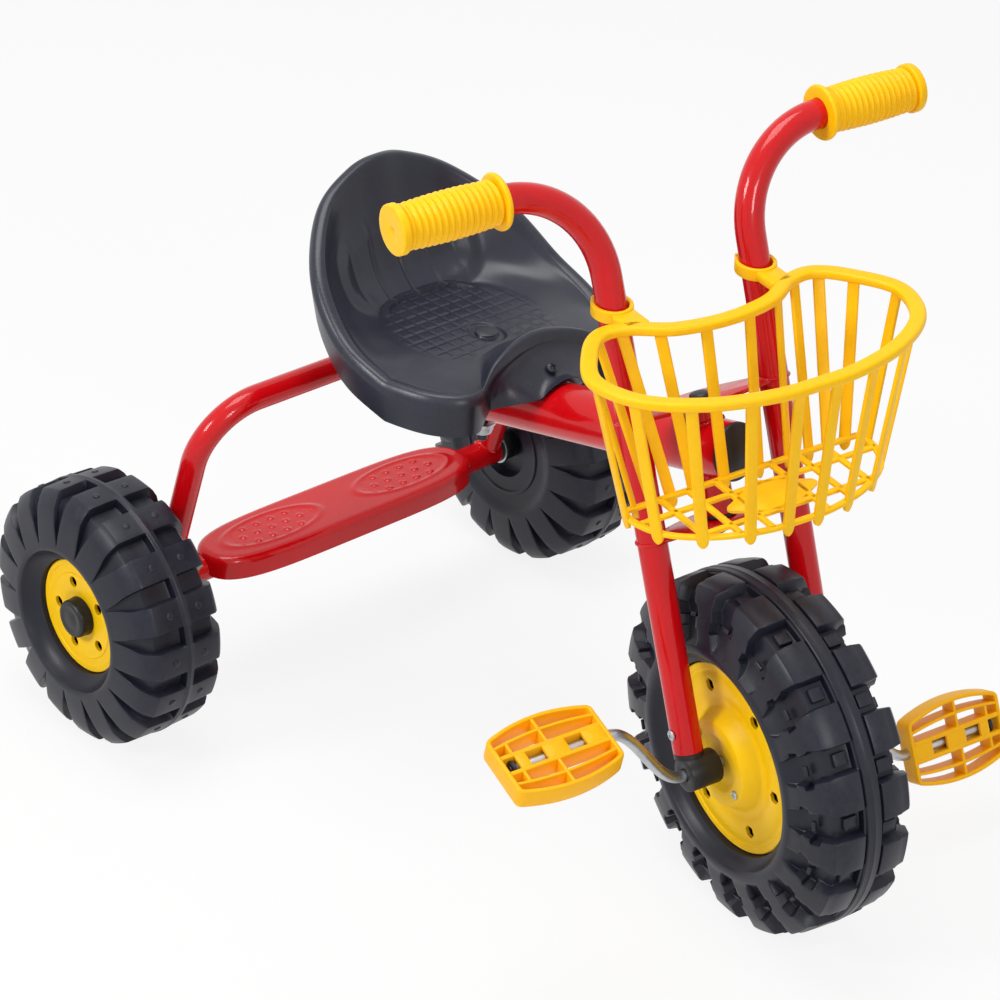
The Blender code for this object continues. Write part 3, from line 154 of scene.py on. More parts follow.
@dataclass(frozen=True)
class Layout:
    """The lines that the frame and the fork are set out on."""

    steer_rake: float = math.radians(17.0)
    steer_trail: float = 0.016
    rest_steer: float = math.radians(12.0)
    head_rise: float = 0.212
    backbone_slope: float = math.radians(13.0)
    fork_rake: float = math.radians(19.0)
    fork_offset: float = 0.0038
    leg_x: float = 0.0575

    @property
    def joints(self) -> dict[str, dict]:
        """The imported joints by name."""
        return {joint["name"]: joint for joint in frame["joints"]}

    @property
    def rear(self) -> Place:
        """The frame's own axes: the origin is on the ground below the rear axle."""
        return HERE.shifted((0.0, self.joints["left_rear_wheel_spin"]["pos_m"][1], 0.0))

    @property
    def rear_axle_z(self) -> float:
        """The rear axle's height."""
        return float(self.joints["left_rear_wheel_spin"]["pos_m"][2])

    @property
    def steer_axis(self) -> Array:
        """Up along the steering axis."""
        return np.array([0.0, math.sin(self.steer_rake), math.cos(self.steer_rake)])

    @property
    def leg_axis(self) -> Array:
        """Up along the fork's legs, with the fork straight ahead."""
        return np.array([0.0, math.sin(self.fork_rake), math.cos(self.fork_rake)])

    @property
    def backbone_axis(self) -> Array:
        """Forwards along the backbone."""
        return np.array([0.0, -math.cos(self.backbone_slope), math.sin(self.backbone_slope)])

    @property
    def fork(self) -> Place:
        """The fork's axes: those of the frame, turned about the steering axis to the resting angle."""
        head = np.asarray(self.joints["steering"]["pos_m"], float)
        turn = rotation(self.steer_axis, -self.rest_steer)
        return Place(turn, turn @ (self.rear.origin - head) + head)

    @property
    def front_axle(self) -> Array:
        """The front wheel's centre in the fork's axes."""
        return self.fork.local(self.joints["front_wheel_spin"]["pos_m"])

    @property
    def head(self) -> Array:
        """Where the backbone's centre line meets the steering axis, in the frame's axes."""
        foot = self.front_axle + np.array([0.0, self.steer_trail, 0.0])
        return foot + self.steer_axis * self.head_rise

    def backbone_point(self, y: float) -> Array:
        """The point of the backbone's centre line at this Y."""
        return self.head + self.backbone_axis * ((y - self.head[1]) / self.backbone_axis[1])

    def leg_point(self, side: Side, rise: float) -> Array:
        """The point of a fork leg's centre line this far up it from the wheel's centre."""
        foot = self.front_axle + np.array([side.value * self.leg_x, self.fork_offset, 0.0])
        return foot + self.leg_axis * rise

    def wheel(self, side: Side) -> Place:
        """A rear wheel's axes, with Z outwards along the axle."""
        centre = self.joints[f"{side.word}_rear_wheel_spin"]["pos_m"]
        return Place(rotation((0, 1, 0), side.value * math.pi / 2), np.asarray(centre, float))

    def front_wheel(self, side: Side = Side.LEFT) -> Place:
        """The front wheel's axes, with Z outwards along the axle to this side."""
        fork = self.fork
        turn = fork.turn @ rotation((0, 1, 0), side.value * math.pi / 2)
        return Place(turn, fork.world(self.front_axle))


LAYOUT = Layout()


# Curves and profiles


def spline(knots: Array, samples: int, closed: bool = False) -> Array:
    """A smooth curve through its knots: a Catmull-Rom cubic on each span.

    Args:
        knots: the points it passes through, one a row.
        samples: how many points to return.
        closed: whether the last knot joins the first.

    Returns:
        The points, evenly spaced in the knots' own count.
    """
    count = len(knots)
    spans = count if closed else count - 1
    where = np.linspace(0, spans, samples, endpoint=not closed)
    span = np.minimum(where.astype(int), spans - 1)
    t = (where - span)[:, None]

    def knot(step: int) -> Array:
        """The knot this many places on from each span's start."""
        at = (span + step) % count if closed else np.clip(span + step, 0, count - 1)
        return knots[at]

    a, b, c, d = knot(-1), knot(0), knot(1), knot(2)
    return 0.5 * (
        2 * b + (c - a) * t + (2 * a - 5 * b + 4 * c - d) * t**2 + (3 * b - a - 3 * c + d) * t**3
    )


def mirrored_loop(half: Rows) -> Array:
    """Half an outline from X = 0 round to X = 0, followed by its mirror image."""
    points = np.asarray(half, float)
    mirror = points[-2:0:-1] * np.array([-1.0] + [1.0] * (points.shape[1] - 1))
    return np.vstack([points, mirror])


def rounded(corners: Rows, radius: float, steps: int = 4, closed: bool = False) -> Array:
    """Replaces each corner of a path with an arc tangent to both of its sides.

    The arc turns the two unit vectors from its centre to its ends into one another, by
    (sin((1 - t) w) a + sin(t w) b) / sin(w). Its radius shrinks where a side is too short.

    Args:
        corners: the path's corners, one a row, in 2 or 3 dimensions.
        radius: the arcs' radius.
        steps: the pieces of each arc.
        closed: whether the path closes on itself.

    Returns:
        The rounded path.
    """
    path = np.asarray(corners, float)
    if closed:
        before, here, after = np.roll(path, 1, axis=0), path, np.roll(path, -1, axis=0)
    else:
        before, here, after = path[:-2], path[1:-1], path[2:]
    back, ahead = before - here, after - here
    room = 0.49 * np.minimum(np.linalg.norm(back, axis=1), np.linalg.norm(ahead, axis=1))
    back, ahead = unit(back), unit(ahead)
    half = np.clip(np.arccos(np.clip((back * ahead).sum(1), -1, 1)) / 2, 0.05, math.pi / 2 - 1e-4)
    reach = np.minimum(radius / np.tan(half), room)
    bend = reach * np.tan(half)
    middle = back + ahead
    middle /= np.maximum(np.linalg.norm(middle, axis=1, keepdims=True), 1e-9)
    centre = here + middle * (bend / np.sin(half))[:, None]
    start = here + back * reach[:, None] - centre
    end = here + ahead * reach[:, None] - centre
    sweep = (math.pi - 2 * half)[:, None, None]
    t = np.linspace(0, 1, steps + 1)[None, :, None]
    arc = np.sin((1 - t) * sweep) * start[:, None] + np.sin(t * sweep) * end[:, None]
    arc = centre[:, None] + arc / np.sin(sweep)
    points = arc.reshape(-1, path.shape[1])
    return points if closed else np.vstack([path[:1], points, path[-1:]])


def angles(count: int) -> Array:
    """Evenly spaced angles round a full turn."""
    return np.linspace(0, 2 * math.pi, count, endpoint=False)


def ringed(radius: float | Array, turn: Array, height: float | Array) -> Array:
    """The points (r cos t, r sin t, h) for radii, angles and heights."""
    return np.stack(np.broadcast_arrays(radius * np.cos(turn), radius * np.sin(turn), height), axis=-1)


def circle(radius: float, sides: int) -> Array:
    """Points round a circle, as (x, y) rows."""
    return ringed(radius, angles(sides), 0.0)[:, :2]


def rounded_box(width: float, height: float, radius: float, steps: int = 3) -> Array:
    """The outline of a rectangle with rounded corners, centred on the origin."""
    w, h = width / 2, height / 2
    return rounded([(w, h), (-w, h), (-w, -h), (w, -h)], radius, steps, closed=True)


def smooth_step(values: Array, low: float, high: float) -> Array:
    """0 below low and 1 above high, joined by 3 t squared less 2 t cubed."""
    t = np.clip((values - low) / (high - low), 0, 1)
    return t * t * (3 - 2 * t)


# Shells


@dataclass
class Shell:
    """A closed surface: its points, its four-sided and three-sided faces, and how worn each point is."""

    points: Array
    quads: Index
    tris: Index
    wear: Array

    def placed(self, place: Place) -> "Shell":
        """The shell with its points carried from a place's axes to the row frame."""
        return Shell(place.world(self.points), self.quads, self.tris, self.wear)

    def outward(self) -> "Shell":
        """The shell with its faces turned outwards: a sixth of the sum of a . (b x c) is its volume."""
        tris = np.vstack([self.quads[:, [0, 1, 2]], self.quads[:, [0, 2, 3]], self.tris])
        a, b, c = (self.points[tris[:, k]] for k in range(3))
        if np.einsum("ij,ij->", a, np.cross(b, c)) >= 0:
            return self
        return Shell(self.points, self.quads[:, ::-1], self.tris[:, ::-1], self.wear)


def surface(grid: Array, wrap_rows: bool = False, wear: Array | None = None) -> Shell:
    """A shell from a grid of points whose last column joins its first.

    Args:
        grid: points as (rows, columns, 3).
        wrap_rows: whether the last row joins the first. If not, fans of triangles close the end rows.
        wear: how worn each point is, as (rows, columns).

    Returns:
        The shell.
    """
    rows, cols = grid.shape[:2]
    i, j = np.arange(rows if wrap_rows else rows - 1)[:, None], np.arange(cols)
    row, next_row, ahead = i * cols, (i + 1) % rows * cols, (j + 1) % cols
    quads = np.stack([row + j, row + ahead, next_row + ahead, next_row + j], axis=-1).reshape(-1, 4)
    points = grid.reshape(-1, 3)
    worn = np.zeros(rows * cols) if wear is None else wear.reshape(-1)
    tris = np.zeros((0, 3), int)
    if not wrap_rows:
        last, pole = (rows - 1) * cols, np.full(cols, rows * cols)
        tris = np.vstack([np.c_[ahead, j, pole], np.c_[last + j, last + ahead, pole + 1]])
        points = np.vstack([points, grid[0].mean(0), grid[-1].mean(0)])
        worn = np.append(worn, [worn[0], worn[-1]])
    return Shell(points, quads, tris, worn).outward()


def stacked(outline: Array, levels: Iterable[tuple[float, Sequence[float]]]) -> Shell:
    """A closed shell from one outline at several heights, each with its own scale across and along."""
    return surface(np.stack([np.c_[outline * scale, np.full(len(outline), z)] for z, scale in levels]))


def lathe(
    profile: Rows, steps: int = 64, closed: bool = False, wear: Array | None = None
) -> Shell:
    """Turns a profile of (radius, height) rows about Z: (r cos t, r sin t, h).

    Args:
        profile: the profile. One off the axis is closed on itself; one that meets it ends in fans.
        steps: the columns round the axis.
        closed: whether the profile closes on itself.
        wear: how worn each row is.

    Returns:
        The shell.
    """
    rows = np.asarray(profile, float)
    grid = ringed(np.maximum(rows[:, :1], 1e-6), angles(steps), rows[:, 1:])
    worn = None if wear is None else np.repeat(wear[:, None], steps, axis=1)
    return surface(grid, wrap_rows=closed, wear=worn)


def turned_ring(corners: Rows, edge: float, steps: int) -> Shell:
    """A closed profile with rounded corners, turned about Z."""
    return lathe(rounded(corners, edge, 2, closed=True), steps, closed=True)


def sleeve(inner: float, outer: float, low: float, high: float, edge: float, steps: int) -> Shell:
    """A plain ring with rounded edges."""
    return turned_ring([(inner, high), (outer, high), (outer, low), (inner, low)], edge, steps)


def carried(path: Array, section: Array, normal: Sequence[float], closed: bool = False) -> Shell:
    """Carries a section along a flat path: path + a (tangent x normal) + b normal.

    Args:
        path: the path's points, one a row.
        section: the section's points (a, b), one a row, or one such set for each point of the path.
        normal: the direction square to the path's plane.
        closed: whether the path closes on itself.

    Returns:
        The shell.
    """
    if closed:
        tangent = np.roll(path, -1, axis=0) - np.roll(path, 1, axis=0)
    else:
        tangent = np.gradient(path, axis=0)
    upright = unit(normal)
    across = np.cross(unit(tangent), upright)
    section = np.asarray(section, float)
    if section.ndim == 2:
        section = np.broadcast_to(section, (len(path), *section.shape))
    grid = path[:, None] + section[..., :1] * across[:, None] + section[..., 1:] * upright
    return surface(grid, wrap_rows=closed)


def pipe(path: Array, radius: float, normal: Sequence[float], sides: int = 32, bore: float = 0.0) -> Shell:
    """A round tube along a flat path. One with a bore turns inwards at its ends and comes back inside.

    Args:
        path: the centre line's points, one a row.
        radius: the outer radius.
        normal: the direction square to the path's plane.
        sides: the columns round the tube.
        bore: the inner radius, or 0 for a rod.

    Returns:
        The shell.
    """
    if not bore:
        return carried(path, circle(radius, sides), normal)
    across = np.cross(unit(np.gradient(path, axis=0)), unit(normal))
    ring = circle(1.0, sides)
    radii = np.repeat([radius, bore], len(path))[:, None, None]
    there, back = (np.vstack([rows, rows[::-1]])[:, None] for rows in (path, across))
    return surface(there + radii * (ring[:, :1] * back + ring[:, 1:] * unit(normal)), wrap_rows=True)


def block(size: Sequence[float], edge: float) -> Shell:
    """A box with rounded edges, centred on the origin: a rounded outline, drawn in at both ends."""
    x, y, z = size
    rows = [(-z / 2, edge), (-z / 2 + 0.3 * edge, 0.3 * edge), (-z / 2 + edge, 0.0)]
    rows += [(-h, inset) for h, inset in reversed(rows)]
    levels = [(h, (1 - 2 * inset / x, 1 - 2 * inset / y)) for h, inset in rows]
    return stacked(rounded_box(x, y, edge, 2), levels)


def hexagon(radius: float, low: float, high: float, bore: float) -> Shell:
    """A chamfered nut: a six-sided radius f / cos(angle from a flat's middle), cut to a cone at its ends.

    Args:
        radius: the distance from its middle to a corner.
        low: its foot along Z.
        high: its top along Z.
        bore: the radius of its hole.

    Returns:
        The shell.
    """
    turn = angles(72)
    from_flat = (turn + math.pi / 6) % (math.pi / 3) - math.pi / 6
    flat = radius * math.cos(math.pi / 6)
    outer, slope = flat / np.cos(from_flat), 0.0012
    end = np.minimum(outer, 0.97 * flat)
    rows = [(end, high), (outer, high - slope), (outer, low + slope), (end, low), (bore, low), (bore, high)]
    return surface(np.stack([ringed(r, turn, h) for r, h in rows]), wrap_rows=True)


def drill(radius: float, sides: int) -> Shell:
    """A rod along Z, longer than any wall is thick, that cuts a round hole."""
    return lathe([(radius, -0.1), (radius, 0.1)], sides)


def screw(head: float, rise: float, shank: float, length: float) -> Shell:
    """A round-headed screw with a cross recess, resting at height 0.

    Args:
        head: the head's radius.
        rise: the head's height.
        shank: the shank's radius.
        length: the shank's length.

    Returns:
        The screw, whose head is a dome sinking to a four-armed recess.
    """
    turn = angles(48)
    shares = np.array([0.0, 0.12, 0.24, 0.36, 0.46, 0.56, 0.7, 0.85, 0.96, 1.0])[:, None]
    dome = rise * np.sqrt(1 - (0.94 * shares) ** 2)
    x, y = np.abs(head * shares * np.cos(turn)), np.abs(head * shares * np.sin(turn))
    recess = (np.minimum(x, y) < 0.15 * head) & (np.maximum(x, y) < 0.55 * head)
    top = ringed(head * shares, turn, dome - 0.45 * rise * recess)
    below = np.array([(head, 0.0), (shank, 0.0), (shank, -length)])
    return surface(np.vstack([top, ringed(below[:, :1], turn, below[:, 1:])]))


def built(name: str, shells: Sequence[Shell]) -> bpy.types.Mesh:
    """Writes shells to one smooth mesh whose steep edges are sharp.

    Args:
        name: the mesh's name.
        shells: the closed surfaces that it holds.

    Returns:
        The mesh, with each point's wear in an attribute of that name.
    """
    starts = np.cumsum([0] + [len(shell.points) for shell in shells[:-1]])
    points = np.vstack([shell.points for shell in shells])
    quads = np.vstack([shell.quads + start for shell, start in zip(shells, starts)])
    tris = np.vstack([shell.tris + start for shell, start in zip(shells, starts)])
    loops = np.concatenate([quads.ravel(), tris.ravel()]).astype(np.int32)
    sizes = np.concatenate([np.full(len(quads), 4), np.full(len(tris), 3)])
    mesh = bpy.data.meshes.new(name)
    mesh.vertices.add(len(points))
    mesh.vertices.foreach_set("co", points.astype(np.float32).ravel())
    mesh.loops.add(len(loops))
    mesh.loops.foreach_set("vertex_index", loops)
    mesh.polygons.add(len(sizes))
    mesh.polygons.foreach_set("loop_start", np.concatenate([[0], np.cumsum(sizes)[:-1]]).astype(np.int32))
    mesh.update(calc_edges=True)
    mesh.shade_smooth()
    mesh.set_sharp_from_angle(angle=SHARP)
    worn = mesh.attributes.new("wear", "FLOAT", "POINT")
    worn.data.foreach_set("value", np.concatenate([shell.wear for shell in shells]).astype(np.float32))
    return mesh


def cut(mesh: bpy.types.Mesh, cutters: Sequence[Shell]) -> bpy.types.Mesh:
    """Cuts shells out of a mesh, for holes with clean walls."""
    whole = bpy.data.objects.new("whole", mesh)
    tool = bpy.data.objects.new("tool", built("tool", cutters))
    for obj in (whole, tool):
        bpy.context.scene.collection.objects.link(obj)
    boolean = whole.modifiers.new("holes", "BOOLEAN")
    boolean.object = tool
    boolean.solver = "EXACT"
    bpy.context.view_layer.update()
    done = bpy.data.meshes.new_from_object(whole.evaluated_get(bpy.context.evaluated_depsgraph_get()))
    for obj in (whole, tool):
        bpy.data.objects.remove(obj, do_unlink=True)
    done.set_sharp_from_angle(angle=SHARP)
    return done


def softened(node: str, edge: float) -> bpy.types.Mesh:
    """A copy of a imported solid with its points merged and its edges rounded.

    Args:
        node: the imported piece.
        edge: how wide the rounding is.

    Returns:
        The mesh.
    """
    bm = bmesh.new()
    bm.from_mesh(frame["nodes"][node].data)
    bmesh.ops.remove_doubles(bm, verts=bm.verts, dist=1e-6)
    bmesh.ops.dissolve_limit(bm, angle_limit=math.radians(1.0), verts=bm.verts, edges=bm.edges)
    steep = [e for e in bm.edges if len(e.link_faces) == 2 and e.calc_face_angle(0.0) > math.radians(32)]
    bmesh.ops.bevel(bm, geom=steep, offset=edge, segments=2, profile=0.5, affect="EDGES", clamp_overlap=True)
    mesh = bpy.data.meshes.new(node)
    bm.to_mesh(mesh)
    bm.free()
    mesh.materials.clear()
    mesh.shade_smooth()
    mesh.set_sharp_from_angle(angle=SHARP)
    return mesh


# Finishes


def linear(red: int, green: int, blue: int) -> Colour:
    """A screen colour in 0 to 255 as the linear colour that a shader takes."""
    parts = np.array([red, green, blue]) / 255
    low, high = parts / 12.92, ((parts + 0.055) / 1.055) ** 2.4
    return (*(float(v) for v in np.where(parts <= 0.04045, low, high)), 1.0)


class Graph:
    """A node tree with short calls for the nodes that these finishes use."""

    def __init__(self, tree: bpy.types.NodeTree) -> None:
        """Takes the tree to wire."""
        self.tree = tree

    def add(self, kind: str, inputs: dict | None = None, **settings: object) -> bpy.types.Node:
        """Adds a node.

        Args:
            kind: its type, without the leading ShaderNode.
            inputs: each input's socket to link from, or its value.
            settings: the node's own properties.

        Returns:
            The node.
        """
        node = self.tree.nodes.new("ShaderNode" + kind)
        for key, value in settings.items():
            setattr(node, key, value)
        for key, value in (inputs or {}).items():
            self.feed(node.inputs[key], value)
        return node

    def feed(self, socket: Socket, value: object) -> None:
        """Links an input to another socket, or gives it a plain value."""
        if isinstance(value, Socket):
            self.tree.links.new(value, socket)
        else:
            socket.default_value = value

    def math(self, operation: str, a: object, b: object = 0.0) -> Socket:
        """One step of arithmetic."""
        return self.add("Math", {0: a, 1: b}, operation=operation).outputs[0]

    def ramp(self, value: Socket, low: float, high: float, start: float = 0.0, end: float = 1.0) -> Socket:
        """A value carried evenly from one range to another, and held at its ends."""
        inputs = {"Value": value, "From Min": low, "From Max": high, "To Min": start, "To Max": end}
        return self.add("MapRange", inputs).outputs["Result"]

    def mix(self, share: Socket, first: object, second: object) -> Socket:
        """Two colours mixed."""
        node = self.add("Mix", data_type="RGBA")
        for socket, value in zip([s for s in node.inputs if s.enabled], (share, first, second)):
            self.feed(socket, value)
        return next(s for s in node.outputs if s.enabled)

    def noise(self, vector: Socket, scale: object, detail: float = 2.0, rough: float = 0.5) -> Socket:
        """A soft random field of about 0.5."""
        inputs = {"Vector": vector, "Scale": scale, "Detail": detail, "Roughness": rough}
        return self.add("TexNoise", inputs).outputs["Fac"]

    def stretched(self, vector: Socket, scale: Sequence[float], turn: Sequence[float]) -> Socket:
        """A vector turned and stretched."""
        inputs = {"Vector": vector, "Scale": scale, "Rotation": turn}
        return self.add("Mapping", inputs).outputs["Vector"]


class Effect:
    """A shader group that several finishes share, built the first time that one asks for it."""

    title = ""
    takes: tuple[tuple[str, str, object], ...] = ()
    gives: tuple[tuple[str, str], ...] = ()

    @classmethod
    def wire(cls, graph: Graph, given: Mapping[str, Socket]) -> dict[str, Socket]:
        """Wires the group's nodes and returns a socket for each of its outputs."""
        raise NotImplementedError

    @classmethod
    def tree(cls) -> bpy.types.NodeTree:
        """The group's node tree."""
        made = bpy.data.node_groups.get(cls.title)
        if made:
            return made
        made = bpy.data.node_groups.new(cls.title, "ShaderNodeTree")
        for name, kind, value in cls.takes:
            socket = made.interface.new_socket(name=name, in_out="INPUT", socket_type="NodeSocket" + kind)
            if value is not None:
                socket.default_value = value
        for name, kind in cls.gives:
            made.interface.new_socket(name=name, in_out="OUTPUT", socket_type="NodeSocket" + kind)
        given, result = made.nodes.new("NodeGroupInput"), made.nodes.new("NodeGroupOutput")
        for name, socket in cls.wire(Graph(made), given.outputs).items():
            made.links.new(socket, result.inputs[name])
        return made

    @classmethod
    def put(cls, graph: Graph, **inputs: object) -> bpy.types.Node:
        """Places the group in a material with this finish's own values."""
        node = graph.tree.nodes.new("ShaderNodeGroup")
        node.node_tree = cls.tree()
        for name, value in inputs.items():
            graph.feed(node.inputs[name], value)
        return node


class Mottle(Effect):
    """Two colours drifting into each other over broad patches and fine specks."""

    title = "mottle"
    takes = (
        ("Vector", "Vector", None), ("Main", "Color", None), ("Other", "Color", None),
        ("Patches", "Float", 14.0), ("Specks", "Float", 260.0), ("Amount", "Float", 0.5),
    )
    gives = (("Colour", "Color"),)

    @classmethod
    def wire(cls, graph: Graph, given: Mapping[str, Socket]) -> dict[str, Socket]:
        """Mixes the colours by a broad field plus a third of a fine one."""
        broad = graph.ramp(graph.noise(given["Vector"], given["Patches"], 3.0, 0.6), 0.36, 0.66, 0.0, 0.7)
        fine = graph.ramp(graph.noise(given["Vector"], given["Specks"], 1.0), 0.4, 0.62, 0.0, 0.3)
        share = graph.math("MULTIPLY", graph.math("ADD", broad, fine), given["Amount"])
        return {"Colour": graph.mix(share, given["Main"], given["Other"])}


class Scuffs(Effect):
    """Fine crossing scratches that gather in patches."""

    title = "scuffs"
    takes = (("Vector", "Vector", None), ("Spacing", "Float", 90.0), ("Cover", "Float", 0.5))
    gives = (("Mask", "Float"),)

    @classmethod
    def wire(cls, graph: Graph, given: Mapping[str, Socket]) -> dict[str, Socket]:
        """Keeps the middle lines of two stretched fields, only where a broad field is high."""
        masks = []
        for scale, turn in (((1.0, 0.06, 1.0), (0.3, 0.5, 0.9)), ((0.07, 1.0, 1.0), (0.8, 0.2, 0.4))):
            vector = graph.stretched(given["Vector"], scale, turn)
            field = graph.noise(vector, given["Spacing"], 2.0, 0.65)
            line = graph.math("ABSOLUTE", graph.math("SUBTRACT", field, 0.5))
            masks.append(graph.ramp(line, 0.0, 0.012, 1.0, 0.0))
        lines = graph.math("MAXIMUM", *masks)
        patches = graph.ramp(graph.noise(given["Vector"], 22.0, 2.0), 0.48, 0.66)
        cover = graph.math("MULTIPLY", patches, given["Cover"])
        return {"Mask": graph.math("MULTIPLY", lines, cover)}


class Grain(Effect):
    """The height of a moulded or brushed skin: pits, a fine roughness and a slow unevenness."""

    title = "grain"
    takes = (
        ("Vector", "Vector", None), ("Fine", "Float", 1800.0), ("Pits", "Float", 600.0),
        ("Wave", "Float", 60.0), ("Wave height", "Float", 0.5),
    )
    gives = (("Height", "Float"),)

    @classmethod
    def wire(cls, graph: Graph, given: Mapping[str, Socket]) -> dict[str, Socket]:
        """Adds a fine field, a field of rounded cells and a slow one."""
        at = given["Vector"]
        fine = graph.math("MULTIPLY", graph.noise(at, given["Fine"], 3.0, 0.6), 0.35)
        cells = graph.add("TexVoronoi", {"Vector": at, "Scale": given["Pits"]})
        pits = graph.math("MULTIPLY", cells.outputs["Distance"], 0.3)
        slow = graph.math("MULTIPLY", graph.noise(at, given["Wave"], 1.0), given["Wave height"])
        return {"Height": graph.math("ADD", graph.math("ADD", fine, pits), slow)}


class Dust(Effect):
    """Dust that settles on faces looking up, thinned by a broad field."""

    title = "dust"
    takes = (("Vector", "Vector", None), ("Amount", "Float", 0.2))
    gives = (("Mask", "Float"),)

    @classmethod
    def wire(cls, graph: Graph, given: Mapping[str, Socket]) -> dict[str, Socket]:
        """Multiplies how far a face looks up by a field and by the amount."""
        normal = graph.add("TexCoord").outputs["Normal"]
        up = graph.add("SeparateXYZ", {"Vector": normal}).outputs["Z"]
        field = graph.ramp(graph.noise(given["Vector"], 35.0, 5.0, 0.7), 0.35, 0.75)
        settled = graph.math("MULTIPLY", graph.ramp(up, 0.25, 1.0), field)
        return {"Mask": graph.math("MULTIPLY", settled, given["Amount"])}


class Rubbed(Effect):
    """Where use has paled a surface: its wear attribute, broken up by a fine field."""

    title = "rubbed"
    takes = (("Vector", "Vector", None), ("Amount", "Float", 0.5))
    gives = (("Mask", "Float"),)

    @classmethod
    def wire(cls, graph: Graph, given: Mapping[str, Socket]) -> dict[str, Socket]:
        """Multiplies the attribute by a streaky field and by the amount."""
        worn = graph.add("Attribute", attribute_name="wear").outputs["Fac"]
        streaks = graph.ramp(graph.noise(given["Vector"], 150.0, 6.0, 0.75), 0.38, 0.66)
        return {"Mask": graph.math("MULTIPLY", graph.math("MULTIPLY", worn, streaks), given["Amount"])}


@dataclass(frozen=True)
class Finish:
    """A surface finish: its colours, its gloss and the scale of its grain and marks.

    Lengths are in metres, and the fields' scales are repeats to the metre.
    """

    name: str
    slot: str
    main: Colour
    other: Colour
    rub_colour: Colour
    roughness: float
    gloss_spread: float = 0.08
    metallic: float = 0.0
    coat: float = 0.0
    coat_roughness: float = 0.08
    specular: float = 0.5
    patches: float = 14.0
    specks: float = 260.0
    mottle: float = 0.6
    scuff: float = 0.14
    scuff_spacing: float = 90.0
    dust: float = 0.02
    rubbed: float = 0.1
    grain_fine: float = 1800.0
    grain_pits: float = 600.0
    grain_wave: float = 60.0
    wave_height: float = 0.5
    grain_depth: float = 0.00004

    def material(self) -> bpy.types.Material:
        """The finish as a material, built the first time that a piece takes it."""
        made = bpy.data.materials.get(self.name)
        if made:
            return made
        made = bpy.data.materials.new(self.name)
        made.use_nodes = True
        made.diffuse_color = self.main
        graph = Graph(made.node_tree)
        shader = made.node_tree.nodes["Principled BSDF"]
        for socket, value in (
            ("Metallic", self.metallic), ("Coat Weight", self.coat), ("Coat Roughness", self.coat_roughness),
            ("Specular IOR Level", self.specular),
        ):
            shader.inputs[socket].default_value = value
        at = graph.add("TexCoord").outputs["Object"]
        body = Mottle.put(
            graph, Vector=at, Main=self.main, Other=self.other, Patches=self.patches, Specks=self.specks,
            Amount=self.mottle,
        ).outputs["Colour"]
        scuffs = Scuffs.put(graph, Vector=at, Spacing=self.scuff_spacing, Cover=self.scuff).outputs["Mask"]
        dust = Dust.put(graph, Vector=at, Amount=self.dust).outputs["Mask"]
        rubbed = Rubbed.put(graph, Vector=at, Amount=self.rubbed).outputs["Mask"]
        colour = graph.mix(rubbed, body, self.rub_colour)
        colour = graph.mix(graph.math("MULTIPLY", scuffs, 0.35), colour, self.rub_colour)
        colour = graph.mix(dust, colour, (0.45, 0.44, 0.42, 1.0))
        height = Grain.put(
            graph, Vector=at, Fine=self.grain_fine, Pits=self.grain_pits, Wave=self.grain_wave,
            **{"Wave height": self.wave_height},
        ).outputs["Height"]
        height = graph.math("SUBTRACT", height, graph.math("MULTIPLY", scuffs, 0.5))
        uneven = graph.ramp(
            graph.noise(at, 28.0, 3.0), 0.3, 0.7, self.roughness, self.roughness + self.gloss_spread
        )
        dull = graph.math("MULTIPLY", graph.math("MAXIMUM", scuffs, rubbed), 0.25)
        dull = graph.math("ADD", dull, graph.math("MULTIPLY", dust, 0.3))
        roughness = graph.math("MINIMUM", graph.math("ADD", uneven, dull), 0.95)
        bump = graph.add("Bump", {"Height": height, "Distance": self.grain_depth, "Strength": 1.0})
        for socket, value in (
            ("Base Color", colour), ("Roughness", roughness), ("Normal", bump.outputs["Normal"]),
        ):
            graph.feed(shader.inputs[socket], value)
        return made


ENAMEL = Finish(
    "red enamel", "red_paint", linear(206, 6, 16), linear(186, 3, 10), linear(226, 60, 60), 0.2, 0.05,
    coat=0.45, coat_roughness=0.04, specular=0.14, mottle=0.5, scuff=0.06, dust=0.01, rubbed=0.08,
    grain_fine=900.0, grain_pits=420.0, grain_wave=120.0, wave_height=0.9, grain_depth=0.000012,
)
TYRE = Finish(
    "tyre moulding", "dark_plastic", linear(27, 28, 41), linear(20, 21, 32), linear(66, 68, 82), 0.33,
    specular=0.32, mottle=0.7, scuff=0.2, dust=0.01, rubbed=0.2,
)
SEAT = Finish(
    "seat moulding", "dark_plastic", linear(33, 35, 49), linear(26, 28, 40), linear(84, 86, 98), 0.27, 0.07,
    specular=0.4, grain_depth=0.00003,
)
YELLOW = Finish(
    "yellow moulding", "yellow_plastic", linear(255, 200, 6), linear(250, 184, 3), linear(255, 214, 80),
    0.34, specular=0.22,
)
DISC = Finish(
    "disc moulding", "yellow_plastic", linear(255, 206, 10), linear(252, 194, 6), linear(255, 210, 70),
    0.36, specular=0.18, dust=0.01,
)
AMBER = Finish(
    "amber moulding", "amber_plastic", linear(255, 190, 10), linear(254, 174, 6), linear(255, 200, 80),
    0.36, specular=0.22, scuff=0.16, rubbed=0.12,
)
BLACK = Finish(
    "black moulding", "black_plastic", linear(24, 22, 24), linear(32, 30, 33), linear(64, 64, 70), 0.36,
    0.1, specular=0.4, scuff=0.2, dust=0.03, rubbed=0.2,
)
